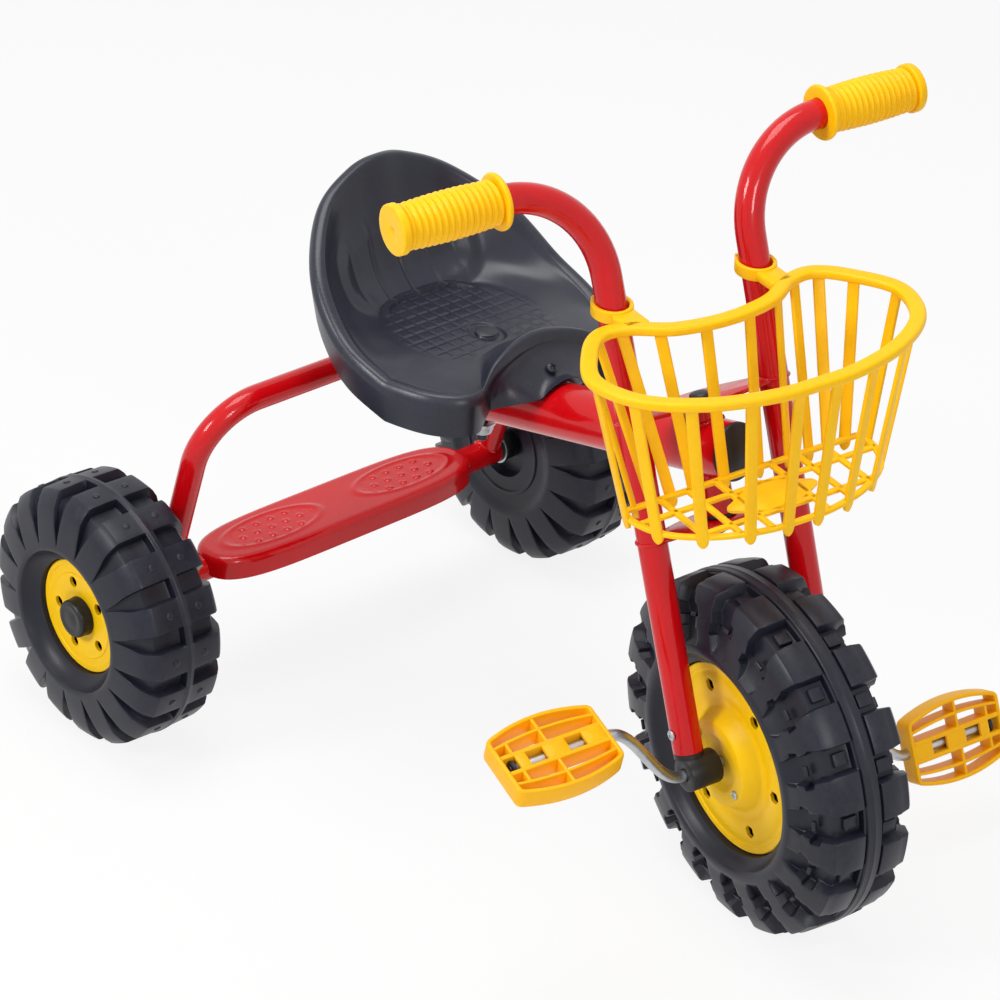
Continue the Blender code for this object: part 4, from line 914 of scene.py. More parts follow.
ZINC = Finish(
    "zinc plate", "zinc_steel", linear(196, 198, 202), linear(168, 170, 174), linear(212, 212, 214), 0.32,
    0.12, metallic=1.0, patches=45.0, specks=420.0, mottle=0.8, scuff=0.45, scuff_spacing=160.0, dust=0.04,
    rubbed=0.15, grain_fine=2600.0, grain_pits=900.0, grain_wave=220.0, wave_height=0.7,
)
# Zinc plate with its colour darkened as painted shade: it stands in for the shade over the seat bolt in its
# recess and over the seat's front screw.
SHADE_DARK_ZINC = Finish(
    "darkened zinc plate", "zinc_steel", linear(62, 63, 70), linear(40, 41, 46), linear(120, 120, 126),
    0.42, 0.12, metallic=0.6, patches=60.0, specks=420.0, mottle=0.8, scuff=0.3, scuff_spacing=160.0,
    rubbed=0.12,
)


@dataclass
class Assembly:
    """A group of pieces that ride on one body. Its subclasses hold their own sizes."""

    body: str = "frame"

    def add(self, name: str, finish: Finish, at: Place, *shells: Shell) -> None:
        """Adds a piece made of shells that are set out in the axes of one place."""
        self.add_mesh(name, finish, built(name, [shell.placed(at) for shell in shells]))

    def add_mesh(self, name: str, finish: Finish, mesh: bpy.types.Mesh) -> None:
        """Dresses a mesh as a piece and hangs it on the body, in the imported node's stead.

        Args:
            name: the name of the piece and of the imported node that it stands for.
            finish: what it is made of.
            mesh: its shape, in the row frame.
        """
        obj = bpy.data.objects.new(name, mesh)
        mesh.materials.clear()
        mesh.materials.append(finish.material())
        bpy.context.scene.collection.objects.link(obj)
        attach(obj, self.body)
        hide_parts(name)
        LOG.info("%s: %d faces on %s", obj.name, len(mesh.polygons), self.body)


# Welds, tyres and other shapes that more than one sub-assembly uses


def weld(path: Array, radius: float, normal: Sequence[float], seed: float) -> Shell:
    """A weld bead along a closed curve: radius x (1 + 0.10 sin(29 t + seed) + 0.06 sin(67 t + 2 seed))."""
    turn = angles(len(path))
    ripple = 1 + 0.1 * np.sin(29 * turn + seed) + 0.06 * np.sin(67 * turn + 2 * seed)
    return carried(path, circle(radius, 8) * ripple[:, None, None], normal, closed=True)


def straight(start: Array, end: Array, steps: int = 2) -> Array:
    """Points along a line."""
    return start + np.linspace(0, 1, steps)[:, None] * (end - start)


def cap_profile(radius: float, rise: float, edge: float, depth: float, spigot: float) -> Array:
    """A plug's profile: a domed face with a rounded edge, and a spigot below it."""
    turn = np.linspace(0, math.pi / 2, 5)
    shoulder = np.stack([radius - edge + edge * np.sin(turn), rise - edge + edge * np.cos(turn)], axis=1)
    dome = np.array([(1e-5, rise + 0.0006), (0.35 * radius, rise + 0.0005), (0.7 * radius, rise + 0.0002)])
    foot = np.array([(radius, GAP), (spigot, GAP), (spigot, -depth), (1e-5, -depth)])
    return np.vstack([dome, shoulder, foot])


@dataclass(frozen=True)
class Tread:
    """The sizes of a moulded wheel's tread and of its recess for the disc."""

    radius: float
    half_width: float
    lip_radius: float
    disc_radius: float
    disc_x: float
    groove: float
    phase: float
    stagger: float
    lugs: int = 17
    flank: float = 0.3  # the half share of the pitch at which the columns' flanks lie

    @property
    def pitch(self) -> float:
        """The turn from lug to lug."""
        return 2 * math.pi / self.lugs

    def columns(self) -> tuple[Array, Array]:
        """The places round one lug's pitch, -0.5 to 0.5, and how raised the surface is at each.

        Returns:
            The places and the raised shares.
        """
        flank = [(0.262, 1.0), (0.283, 0.985), (0.294, 0.88), (0.306, 0.12), (0.318, 0.015), (0.345, 0.0)]
        right = np.array([(0.09, 1.0), (0.18, 1.0)] + flank + [(0.42, 0.0)])
        left = right[::-1] * np.array([-1.0, 1.0])
        both = np.vstack([[(-0.5, 0.0)], left, [(0.0, 1.0)], right])
        return both[:, 0], both[:, 1]

    def skin(self, rows: Array, inner: Array) -> Shell:
        """The tyre as one closed surface: floor + raised share x (top - floor), carried round the axle.

        Args:
            rows: one line for each row from the crown out to the lip: top x, top radius, floor x, floor
                radius, the lug's half share of the pitch, how far the row is turned in pitches, how worn
                it is, and 1 where the row has grooves.
            inner: the profile's other points (x, radius), from the outer lip round the inside to the
                inner lip.

        Returns:
            The shell, with Z outwards along the axle.
        """
        place, raised = self.columns()
        columns = np.arange(self.lugs)[:, None] * self.pitch
        out_side, in_side = rows, rows[:0:-1]
        table = np.vstack([in_side, out_side])
        side = np.concatenate([-np.ones(len(in_side)), [0.0], np.ones(len(out_side) - 1)])[:, None]
        half, turn, worn, grooved = (table[:, [k]] for k in (4, 5, 6, 7))
        flat = np.abs(place)[None, :]
        inside = flat / self.flank * half
        outside = half + (flat - self.flank) / (0.5 - self.flank) * (0.5 - half)
        moved = np.sign(place)[None, :] * np.where(flat < self.flank, inside, outside)
        share = 1 - grooved * (1 - raised[None, :])
        x = np.where(side < 0, -1.0, 1.0) * (table[:, [2]] + share * (table[:, [0]] - table[:, [2]]))
        radius = table[:, [3]] + share * (table[:, [1]] - table[:, [3]])
        shift = side * self.stagger / 2 + turn * self.pitch
        angle = self.phase + columns[None] + (self.pitch * moved + shift)[:, None, :]
        grid = ringed(radius[:, None, :], angle, x[:, None, :]).reshape(len(table), -1, 3)
        rim = self.phase + (columns + self.pitch * place[None, :]).reshape(1, -1)
        wear = np.broadcast_to((worn * share ** 4)[:, None, :], angle.shape).reshape(len(table), -1)
        wear = np.vstack([wear, np.zeros((len(inner), grid.shape[1]))])
        closing = ringed(inner[:, 1:], rim, inner[:, :1])
        return surface(np.vstack([grid, closing]), wrap_rows=True, wear=wear)

    def on_tread(self, shell: Shell, x: float, radius: float, turn: float, tilt: float = 0.0) -> Shell:
        """Stands a shell on the tyre, its Z outwards from the axle.

        Args:
            shell: the shell, about its own foot.
            x: where along the axle.
            radius: how far from the axle.
            turn: the angle round the axle.
            tilt: how far its Z leans towards the wheel's side.

        Returns:
            The shell in the wheel's axes.
        """
        spoke = np.array([math.cos(turn), math.sin(turn), 0.0])
        ahead = np.array([-math.sin(turn), math.cos(turn), 0.0])
        axle = np.array([0.0, 0.0, 1.0])
        up = math.cos(tilt) * spoke + math.sin(tilt) * axle
        along = math.cos(tilt) * axle - math.sin(tilt) * spoke
        basis = np.stack([ahead, along, up], axis=1)
        if np.linalg.det(basis) < 0:
            basis[:, 0] *= -1
        return shell.placed(Place(basis, radius * spoke + x * axle)).outward()


REAR = Tread(
    radius=0.10194, half_width=0.04, lip_radius=0.0565, disc_radius=0.0447, disc_x=0.0251, groove=0.0085,
    phase=math.radians(-3.5), stagger=0.0,
)
FRONT = Tread(
    radius=0.13, half_width=0.041, lip_radius=0.08, disc_radius=0.0697, disc_x=0.0282,
    groove=0.009, phase=0.0, stagger=math.radians(6.5),
)


# The frame that stands on the rear axle


@dataclass
class BackFrame(Assembly):
    """The backbone with its head tube, the stays, and the axle tube with its rod."""

    backbone_radius: float = 0.0205
    backbone_wall: float = 0.002
    backbone_front: float = 0.025
    backbone_rear_y: float = -0.028
    cap_rise: float = 0.003
    head_radius: float = 0.012
    head_wall: float = 0.002
    head_up: float = 0.0285
    head_down: float = 0.047
    stay_radius: float = 0.0096
    stay_bend: float = 0.048
    stay_x: float = 0.165
    stay_top: tuple[float, float] = (-0.0504, 0.2657)
    axle_radius: float = 0.011
    axle_wall: float = 0.0018
    axle_half: float = 0.172
    rod_radius: float = 0.005
    rod_half: float = 0.2498
    washer_radius: float = 0.0125
    washer_height: float = 0.002
    bush_flange: float = 0.0025
    bush_depth: float = 0.012
    pivot_radius: float = 0.004

    def build(self) -> None:
        """Builds every piece of the frame."""
        self.backbone()
        for side in Side:
            self.stay(side)
        self.axle()
        self.head_bushes()

    def backbone(self) -> None:
        """The large tube, the head tube across it, the weld between them and the two end plugs."""
        axis, head, up = LAYOUT.backbone_axis, LAYOUT.head, LAYOUT.steer_axis
        front, rear = head + axis * self.backbone_front, LAYOUT.backbone_point(self.backbone_rear_y)
        inner = self.backbone_radius - self.backbone_wall
        large = pipe(straight(rear, front, 40), self.backbone_radius, ACROSS, 64, inner)
        post = pipe(
            straight(head - up * self.head_down, head + up * self.head_up, 12), self.head_radius, ACROSS, 48,
            self.head_radius - self.head_wall,
        )
        welds = [weld(self.head_joint(sign), 0.0022, up, sign) for sign in (1, -1)]
        self.add("backbone", ENAMEL, LAYOUT.rear, large, post, *welds)
        profile = cap_profile(self.backbone_radius, self.cap_rise, 0.0018, 0.005, inner - 2 * GAP)
        for name, end, out in (("front", front, axis), ("rear", rear, -axis)):
            self.add(f"backbone_{name}_cap", BLACK, LAYOUT.rear.aimed(end, out), lathe(profile, 64))

    def head_joint(self, sign: int) -> Array:
        """Where the head tube leaves the backbone, above it or below.

        A point stands at angle t round the head tube: a cos t across, a sin t along V, and s up it. Its
        distance from the backbone's line is R, so s = (+-sqrt(R^2 - a^2 cos^2 t) - a sin t V.N) / S.N.
        """
        up, axis = LAYOUT.steer_axis, LAYOUT.backbone_axis
        ahead, square = np.cross(up, ACROSS), np.cross(ACROSS, axis)
        turn = angles(96)[:, None]
        a, big = self.head_radius, self.backbone_radius
        wide = sign * np.sqrt(big**2 - (a * np.cos(turn)) ** 2) * np.sign(up @ square)
        rise = (wide - a * np.sin(turn) * (ahead @ square)) / (up @ square)
        return LAYOUT.head + a * np.cos(turn) * ACROSS + a * np.sin(turn) * ahead + rise * up

    def stay(self, side: Side) -> None:
        """A bent tube from the backbone's flank down to the axle tube, with a weld at each end."""
        s, z = side.value, LAYOUT.rear_axle_z
        y, top_z = self.stay_top
        corners = [(s * self.stay_x, 0, z + 0.004), (s * self.stay_x, y, top_z), (s * 0.012, y, top_z)]
        path = resampled(rounded(corners, self.stay_bend, 28), 90)
        leg = unit((0.0, y, top_z - z))
        tube = pipe(path, self.stay_radius, np.cross(leg, ACROSS), 40)
        turn = angles(72)
        square = np.cross(ACROSS, LAYOUT.backbone_axis)
        centre = np.array([0.0, y, top_z])
        lift = (centre - LAYOUT.backbone_point(y)) @ square
        up, ahead = self.stay_radius * np.cos(turn), self.stay_radius * np.sin(turn)
        reach = np.sqrt(self.backbone_radius**2 - (lift + up) ** 2)
        flank = centre + up[:, None] * square + ahead[:, None] * LAYOUT.backbone_axis
        flank[:, 0] = s * reach
        foot = np.stack([
            s * self.stay_x + self.stay_radius * np.cos(turn), self.stay_radius * np.sin(turn),
            z + np.sqrt(self.axle_radius**2 - (self.stay_radius * np.sin(turn)) ** 2),
        ], axis=1)
        welds = [weld(flank, 0.0019, (1, 0, 0), 1.0), weld(foot, 0.0018, (0, 0, 1), 2.0)]
        self.add(f"stay_{side.word}", ENAMEL, LAYOUT.rear, tube, *welds)

    def axle(self) -> None:
        """The axle tube, its bushes, the rod through them and the washers."""
        z = LAYOUT.rear_axle_z
        middle = LAYOUT.rear.aimed((0, 0, z), (1, 0, 0))
        inner = self.axle_radius - self.axle_wall
        tube = sleeve(inner, self.axle_radius, -self.axle_half, self.axle_half, 0.0004, 56)
        self.add("axle_tube", ENAMEL, middle, tube)
        chamfer, r = 0.0009, self.rod_radius
        rod = [
            (1e-5, self.rod_half), (r - chamfer, self.rod_half), (r, self.rod_half - chamfer), (r, 0),
            (r, chamfer - self.rod_half), (r - chamfer, -self.rod_half), (1e-5, -self.rod_half),
        ]
        self.add("rear_axle", ZINC, middle, lathe(rod, 40))
        bore, low = r + GAP, self.bush_flange + GAP
        bush = self.bush(bore, self.axle_radius, inner - GAP, 0.0005)
        washer = sleeve(bore, self.washer_radius, low, low + self.washer_height, 0.0004, 56)
        for side in Side:
            end = LAYOUT.rear.aimed((side.value * self.axle_half, 0, z), (side.value, 0, 0))
            self.add(f"axle_bush_{side.word}", BLACK, end, bush)
            self.add(f"rear_washer_{side.word}", ZINC, end, washer)

    def bush(self, bore: float, flange: float, spigot: float, edge: float) -> Shell:
        """A plastic bush: a flange on a tube's end and a spigot inside it, by their radii."""
        corners = [
            (bore, -self.bush_depth), (bore, self.bush_flange), (flange, self.bush_flange), (flange, GAP),
            (spigot, GAP), (spigot, -self.bush_depth),
        ]
        return turned_ring(corners, edge, 48)

    def head_bushes(self) -> None:
        """The plastic bushes in the ends of the head tube."""
        spigot = self.head_radius - self.head_wall - GAP
        bush = self.bush(self.pivot_radius + GAP, self.head_radius + 0.001, spigot, 0.0006)
        up = LAYOUT.steer_axis
        for name, far in (("head_bush_upper", self.head_up), ("head_bush_lower", -self.head_down)):
            self.add(name, BLACK, LAYOUT.rear.aimed(LAYOUT.head + up * far, up * np.sign(far)), bush)


def resampled(path: Array, count: int) -> Array:
    """The same path with evenly spaced points."""
    steps = np.linalg.norm(np.diff(path, axis=0), axis=1)
    path = path[np.concatenate([[True], steps > 1e-7])]
    along = np.concatenate([[0.0], np.cumsum(np.linalg.norm(np.diff(path, axis=0), axis=1))])
    at = np.linspace(0, along[-1], count)
    return np.stack([np.interp(at, along, path[:, k]) for k in range(path.shape[1])], axis=1)


@dataclass
class StepPlate(Assembly):
    """The pressed plate on the axle tube, with two embossed ovals of round studs and a rolled edge."""

    half_length: float = 0.131
    half_width: float = 0.0315
    y: float = -0.006
    top_z: float = 0.118
    skirt: float = 0.018
    edge: float = 0.006
    sheet: float = 0.0015
    side_power: float = 0.75
    end_power: float = 0.42
    tube_radius: float = 0.011
    oval_x: float = 0.066
    oval_half: tuple[float, float] = (0.046, 0.0185)
    stud_pitch: float = 0.014
    ridge_height: float = 0.0009
    stud_height: float = 0.0011

    def build(self) -> None:
        """A section carried along the plate: x = L c^0.42 and y = W s^0.75 v, with c^2 + s^2 = 1."""
        even = np.linspace(-0.985, 0.985, 300)
        near_end = np.cos(np.linspace(0, 0.33, 20)) ** self.end_power
        share = np.unique(np.round(np.concatenate([even, near_end, -near_end]), 6))[:, None]
        width = np.clip(1 - np.abs(share) ** (2 / self.end_power), 0, 1) ** (self.side_power / 2)
        grow, level, across = self.section().T
        x, y = share * (self.half_length + grow), width * across * (self.half_width + grow)
        on_top = (level == self.top_z) & (np.abs(across) < 1)
        z = level + self.emboss(x, y) * on_top
        reach = self.tube_radius + 2 * GAP
        over = LAYOUT.rear_axle_z + np.sqrt(np.clip(reach**2 - (self.y + y) ** 2, 0, None))
        z = np.where(np.abs(self.y + y) < reach, np.maximum(z, over), z)
        wear = smooth_step(z, self.top_z + 0.0004, self.top_z + 0.0012)
        self.add("step_plate", ENAMEL, LAYOUT.rear, surface(np.stack([x, self.y + y, z], axis=-1), wear=wear))

    def section(self) -> Array:
        """The plate's section once round: how far each point lies outside the edge, its height, and v.

        Returns:
            The rows: up the rolled edge, across the top, down the other edge, and back underneath.
        """
        bend = np.linspace(0, math.pi / 2, 6)
        outer = np.vstack([
            [(0.0, self.top_z - self.skirt), (0.0, self.top_z - self.skirt * 0.6)],
            np.stack([self.edge * (np.cos(bend) - 1), self.top_z + self.edge * (np.sin(bend) - 1)], axis=1),
        ])
        inside = outer[::-1] + np.array([-self.sheet, 0.0])
        inside[:6, 1] -= self.sheet * np.sin(bend[::-1])
        top, under = np.linspace(-1, 1, 76)[1:-1], np.linspace(1, -1, 9)[1:-1]
        below = self.edge + self.sheet, self.top_z - self.sheet
        parts = (
            (*outer.T, -1.0), (-self.edge, self.top_z, top), (*outer[::-1].T, 1.0), (*inside[::-1].T, 1.0),
            (-below[0], below[1], under), (*inside.T, -1.0),
        )
        return np.vstack([np.stack(np.broadcast_arrays(*part), axis=1) for part in parts])

    def emboss(self, x: Array, y: Array) -> Array:
        """How far the top stands up: a ridge round each oval and a grid of studs inside it."""
        a, b = self.oval_half
        from_middle = np.abs(x) - self.oval_x
        radius = np.sqrt((from_middle / a) ** 2 + (y / b) ** 2)
        ridge = self.ridge_height * np.exp(-(((radius - 1) / 0.085) ** 2))
        pitch = self.stud_pitch
        row = np.round(y / (0.75 * pitch))
        ahead = from_middle / pitch + 0.5 * (row % 2)
        off_x = (ahead - np.round(ahead)) * pitch
        off_y = y - row * 0.75 * pitch
        stud = self.stud_height * (1 - smooth_step(np.hypot(off_x, off_y), 0.0012, 0.0038))
        return ridge + stud * (radius < 0.86)


@dataclass
class Seat(Assembly):
    """The moulded bucket seat, the saddle under it and its fastenings."""

    pan_z: float = 0.33
    centre_y: float = -0.15
    bolt_y: float = -0.168
    shell: float = 0.003
    lip: float = 0.009
    skirt: float = 0.03
    apron: float = 0.034
    apron_half: float = 0.045
    tube_radius: float = 0.0205
    bolt_radius: float = 0.004
    bolt_head: float = 0.0085
    washer_radius: float = 0.0095
    washer_height: float = 0.002
    nut_radius: float = 0.0082
    nut_height: float = 0.0065
    screw_crest: tuple[float, float] = (-0.221, 0.34)
    screw_foot: tuple[float, float] = (-0.252, 0.317)
    screw_y: float = -0.2366
    pad_middle: tuple[float, float] = (0.0, 0.354)
    pad_half: tuple[float, float] = (0.068, 0.029)
    pad_rise: float = 0.0034
    seam_pitch: float = 0.024
    seam_width: float = 0.0014
    waffle_pitch: float = 0.011
    waffle_height: float = 0.0006
    recess: tuple[float, float, float] = (0.0125, 0.017, 0.0018)  # its half sides and its depth
    rim: tuple[tuple[float, float, float], ...] = (
        (0.0, -0.212, 0.347), (0.039, -0.219, 0.339), (0.068, -0.228, 0.319), (0.09, -0.208, 0.316),
        (0.101, -0.166, 0.33), (0.101, -0.13, 0.344), (0.09, -0.092, 0.374), (0.059, -0.059, 0.403),
        (0.025, -0.048, 0.419), (0.0, -0.048, 0.424),
    )

    def build(self) -> None:
        """Builds the seat and what holds it."""
        self.bucket()
        self.fixings()

    def rows(self) -> Array:
        """The seat's rows from its middle to its skirt: share of the way to the rim, share of the rim's
        height, how far outside and below the rim, and how far the apron reaches forward."""
        knots = np.array([
            (0.62, 0.0, 0.0, 0.0, 0.0), (0.8, 0.22, 0.0, 0.0, 0.0),
            (0.93, 0.7, 0.0, 0.0, 0.0), (0.972, 0.93, 0.0, 0.0, 0.0), (0.992, 1.0, 0.0, -0.0012, 0.0),
            (1.0, 1.0, self.lip * 0.4, -0.0024, 0.0), (1.0, 1.0, self.lip * 0.8, -0.0008, 0.0),
            (1.0, 1.0, self.lip + 0.0006, 0.0045, 0.0), (1.0, 1.0, self.lip, 0.0115, 0.1 * self.apron),
            (1.0, 1.0, self.lip - 0.003, self.skirt, self.apron),
        ])
        flat = np.linspace(0.02, 0.62, 66)[:-1, None] * np.array([1.0, 0, 0, 0, 0])
        return np.vstack([flat, spline(knots, 62)])

    def bucket(self) -> None:
        """The shell: the rim line drawn in by each row's share about the pan's middle.

        A point is centre + share x (rim - centre) + out x outwards, lifted by height x the rim's rise.
        """
        rim = spline(mirrored_loop(self.rim), 336, closed=True)
        centre = np.array([0.0, self.centre_y, self.pan_z])
        flat = (rim - centre) * (1, 1, 0)
        outwards = unit(flat)
        rise = np.maximum(rim[:, 2] - self.pan_z, -0.004)
        share, height, out, drop, apron = (self.rows()[:, k, None] for k in range(5))
        forward = np.clip(1 - (rim[:, 0] / self.apron_half) ** 2, 0, 1) * (rim[:, 1] < self.bolt_y)
        body = centre + share[..., None] * flat + out[..., None] * outwards
        body[..., 1] -= apron * forward
        body[..., 2] += height * rise - drop
        normal = unit(np.cross(
            np.gradient(body, axis=0), np.roll(body, -1, axis=1) - np.roll(body, 1, axis=1)
        ))
        normal *= np.sign(normal[2, 0, 2])
        top = body + normal * self.relief(body, share)[..., None]
        under = body - normal * self.shell
        for layer, room in ((top, 0.004), (under, 0.001)):
            layer[..., 2] = np.maximum(layer[..., 2], self.above_tube(layer, room))
        wear = smooth_step(share, 0.95, 1.0) * smooth_step(-drop, -0.016, -0.004) * np.ones(len(rim))
        wear = np.maximum(wear, 0.35 * smooth_step(-share, -0.62, -0.4) * np.ones(len(rim)))
        both = surface(np.vstack([top, under[::-1]]), wear=np.vstack([wear, 0 * wear]))
        self.add("seat", SEAT, LAYOUT.rear, both)

    def above_tube(self, points: Array, room: float) -> Array:
        """The height of the backbone's top with some room, at each point in front of the pan."""
        slope = LAYOUT.backbone_slope
        axis_z = LAYOUT.head[2] - (points[..., 1] - LAYOUT.head[1]) * math.tan(slope)
        half = np.sqrt(np.clip((self.tube_radius + room) ** 2 - points[..., 0] ** 2, 0, None))
        over = np.abs(points[..., 0]) < self.tube_radius + room
        front = points[..., 1] < self.bolt_y - 0.02
        return np.where(over & front, axis_z + half / math.cos(slope), 0.0)

    def relief(self, body: Array, share: Array) -> Array:
        """How far the moulding stands out: a seamed pad on the back, a waffle on the pan and a recess.

        The pad is an oval of height pad_rise cut by grooves, and the waffle a grid of low squares.
        """
        x, y, z = body[..., 0], body[..., 1], body[..., 2]
        wall = smooth_step(y, -0.12, -0.1) * (share > 0.55) * (share < 1.0)
        (mx, mz), (ax, az) = self.pad_middle, self.pad_half
        oval = (np.abs((x - mx) / ax) ** 2.6 + np.abs((z - mz) / az) ** 2.6) ** (1 / 2.6)
        pad = 1 - smooth_step(oval, 0.86, 1.0)
        half_seam = self.seam_pitch / 2
        groove = np.exp(-((((x + half_seam) % self.seam_pitch) - half_seam) / self.seam_width) ** 2)
        padded = self.pad_rise * pad * (1 - 0.32 * groove * (oval < 0.9))
        ahead = y - self.bolt_y
        cell = np.maximum(
            np.abs((x / self.waffle_pitch) % 1 - 0.5), np.abs((ahead / self.waffle_pitch + 0.5) % 1 - 0.5)
        )
        field = smooth_step(-share, -0.6, -0.52) * (np.abs(x) < 0.066)
        squares = self.waffle_height * (1 - smooth_step(cell, 0.33, 0.45)) * field
        a, b, depth = self.recess
        slot, away = np.hypot(x / a, ahead / b), np.hypot(x, ahead)
        sunk = depth * (1 - smooth_step(slot, 0.86, 1.0)) * smooth_step(away, 0.008, 0.0088)
        return wall * padded + squares * smooth_step(slot, 1.05, 1.25) - sunk

    def fixings(self) -> None:
        """The saddle block, and the bolt, washer, nut and front screw."""
        rear, slope = LAYOUT.rear, LAYOUT.backbone_slope
        self.add_mesh("seat_saddle", BLACK, softened("seat_saddle", 0.0012))
        reach = self.tube_radius / math.cos(slope) + 0.0125 * math.tan(slope)
        foot = LAYOUT.backbone_point(self.bolt_y)[2] - reach - GAP
        at = rear.shifted((0, self.bolt_y, 0))
        head, r, rise, chamfer = self.pan_z + GAP, self.bolt_radius, 0.0016, 0.0008
        low = foot - self.washer_height
        high = low - GAP
        end = high - 2 * self.nut_height
        bend = np.linspace(0.08, 1, 8) * math.pi / 2
        dome = np.stack([self.bolt_head * np.sin(bend), head + rise * np.cos(bend)], axis=1)
        shank = [(r, head), (r, end + chamfer), (r - chamfer, end), (1e-5, end)]
        # The bolt takes the darkened zinc, which paints in the shade of its recess.
        self.add("seat_bolt", SHADE_DARK_ZINC, at, lathe(np.vstack([[(1e-5, head + rise)], dome, shank]), 48))
        washer = sleeve(r + GAP, self.washer_radius, low, foot, 0.0003, 48)
        self.add("seat_washer", ZINC, at, washer)
        self.add("seat_nut", ZINC, at, hexagon(self.nut_radius, high - self.nut_height, high, r + GAP))
        (cy, cz), (fy, fz) = self.screw_crest, self.screw_foot
        share = (self.screw_y - cy) / (fy - cy)
        out = np.array([0.0, -0.6, 0.8])
        point = np.array([0.0, self.screw_y, cz + share * (fz - cz)]) + out * (GAP + 0.0002)
        # The screw takes the same darkened zinc, as painted shade.
        self.add("seat_screw", SHADE_DARK_ZINC, rear.aimed(point, out), screw(0.0042, 0.0024, 0.0018, 0.006))


@dataclass
class Fork(Assembly):
    """The two bent tubes of the fork and handlebar, the plates and pivot, the grips and the bearings."""

    body: str = "fork"
    tube_radius: float = 0.0105
    tube_wall: float = 0.0015
    leg_foot: float = 0.0135
    bar_rise: float = 0.4165
    bar_bend: float = 0.068
    grip_inner: float = 0.126
    grip_outer: float = 0.2055
    grip_radius: float = 0.0155
    grip_end_radius: float = 0.0172
    grip_flange_radius: float = 0.0195
    grip_ribs: int = 15
    rib_depth: float = 0.0016
    grip_flange: float = 0.004
    grip_end: float = 0.006
    grip_floor: float = 0.0045
    vent: float = 0.001
    plate_levels: tuple[float, float] = (0.0331, -0.0516)
    plate_thickness: float = 0.003
    plate_half: float = 0.017
    plate_end: float = 0.0075
    pivot_radius: float = 0.004
    pivot_head: float = 0.0078
    nut_radius: float = 0.0072
    nut_height: float = 0.006
    bearing_radius: float = 0.0125
    bearing_ends: tuple[float, float] = (0.041, 0.066)
    rod_radius: float = 0.004
    screw_rise: float = 0.028

    def build(self) -> None:
        """Builds every piece that steers, but for the basket and the wheel."""
        for side in Side:
            self.tube(side)
            self.grip(side)
            self.bearing(side)
        self.plates()
        self.pivot()

    def tube(self, side: Side) -> None:
        """A leg and its half of the handlebar."""
        turn = LAYOUT.leg_point(side, self.bar_rise)
        end = np.array([side.value * (self.grip_outer - self.grip_floor - 2 * GAP), turn[1], turn[2]])
        path = rounded([LAYOUT.leg_point(side, self.leg_foot), turn, end], self.bar_bend, 30)
        square = np.cross(LAYOUT.leg_axis, ACROSS)
        bent = pipe(resampled(path, 110), self.tube_radius, square, 44, self.tube_radius - self.tube_wall)
        self.add(f"fork_tube_{side.word}", ENAMEL, LAYOUT.fork, bent)

    def grip(self, side: Side) -> None:
        """A ribbed sleeve: its radius goes up and down by the ribs' depth between an end and a flange."""
        length = self.grip_outer - self.grip_inner
        bore, floor, edge = self.tube_radius + GAP, length - self.grip_floor, 0.0012
        turn = np.linspace(0, math.pi / 2, 5)
        big = self.grip_end_radius
        end = np.stack([big - edge + edge * np.sin(turn), length - edge + edge * np.cos(turn)], axis=1)
        face = np.array([
            (bore, 0.0), (bore, floor), (self.vent, floor), (self.vent, length - 0.0018),
            (0.0022, length - 0.0006), (0.0034, length), (0.62 * big, length),
        ])
        back = np.array([(big, length - self.grip_end + 0.001), (big - 0.0008, length - self.grip_end)])
        share = np.linspace(0, 1, 10 * self.grip_ribs + 1)
        wave = (0.5 - 0.5 * np.cos(2 * math.pi * share * self.grip_ribs)) ** 0.7
        swell = 0.8 * self.rib_depth * np.sin(math.pi * share)
        valley = self.grip_radius - self.rib_depth
        top, foot = length - self.grip_end - 0.0004, self.grip_flange
        ribs = np.stack([valley + swell + self.rib_depth * wave, top - (top - foot) * share], axis=1)
        wide, r = self.grip_flange_radius, 0.0016
        lobe = np.linspace(-math.pi / 2, math.pi / 2, 9)[::-1]
        flange = np.stack([wide - r + r * np.cos(lobe), foot / 2 + (foot / 2) * np.sin(lobe)], axis=1)
        profile = np.vstack([face, end, back, ribs, flange])
        wear = np.zeros(len(profile))
        start = len(face) + len(end) + len(back)
        wear[start:start + len(ribs)] = wave
        bar = LAYOUT.leg_point(side, self.bar_rise)
        at = LAYOUT.fork.aimed((side.value * self.grip_inner, bar[1], bar[2]), (side.value, 0, 0))
        self.add(f"grip_{side.word}", YELLOW, at, lathe(profile, 64, closed=True, wear=wear))

    def plates(self) -> None:
        """The lens-shaped plates across the legs: half breadth = end + swell cos(share pi / 2)^1.5."""
        square = np.array([0.0, math.cos(LAYOUT.steer_rake), -math.sin(LAYOUT.steer_rake)])
        for name, level in zip(("crown_plate_upper", "crown_plate_lower"), self.plate_levels):
            centre = LAYOUT.head + LAYOUT.steer_axis * level
            rise = (centre[2] - LAYOUT.front_axle[2]) / LAYOUT.leg_axis[2]
            offset = float((LAYOUT.leg_point(Side.LEFT, rise) - centre) @ square)
            share = np.linspace(-1, 1, 56)
            swell = np.cos(share * math.pi / 2).clip(0) ** 1.5
            half = self.plate_end + (self.plate_half - self.plate_end) * swell
            middle = offset * share**2
            x = share * LAYOUT.leg_x
            outline = np.vstack([
                np.stack([x, middle - half], axis=1), np.stack([x, middle + half], axis=1)[::-1],
            ])
            inset = np.array([0.0007, 0.0002, 0.0, 0.0, 0.0002, 0.0007])
            height = np.array([-0.5, -0.42, -0.25, 0.25, 0.42, 0.5]) * self.plate_thickness
            shrink = 1 - inset[:, None] / np.array([LAYOUT.leg_x, self.plate_half])
            basis = np.stack([ACROSS, square, LAYOUT.steer_axis], axis=1)
            plate = stacked(outline, zip(height, shrink)).placed(Place(basis, centre))
            self.add(name, ENAMEL, LAYOUT.fork, plate, *(self.plate_weld(s, centre, rise) for s in Side))

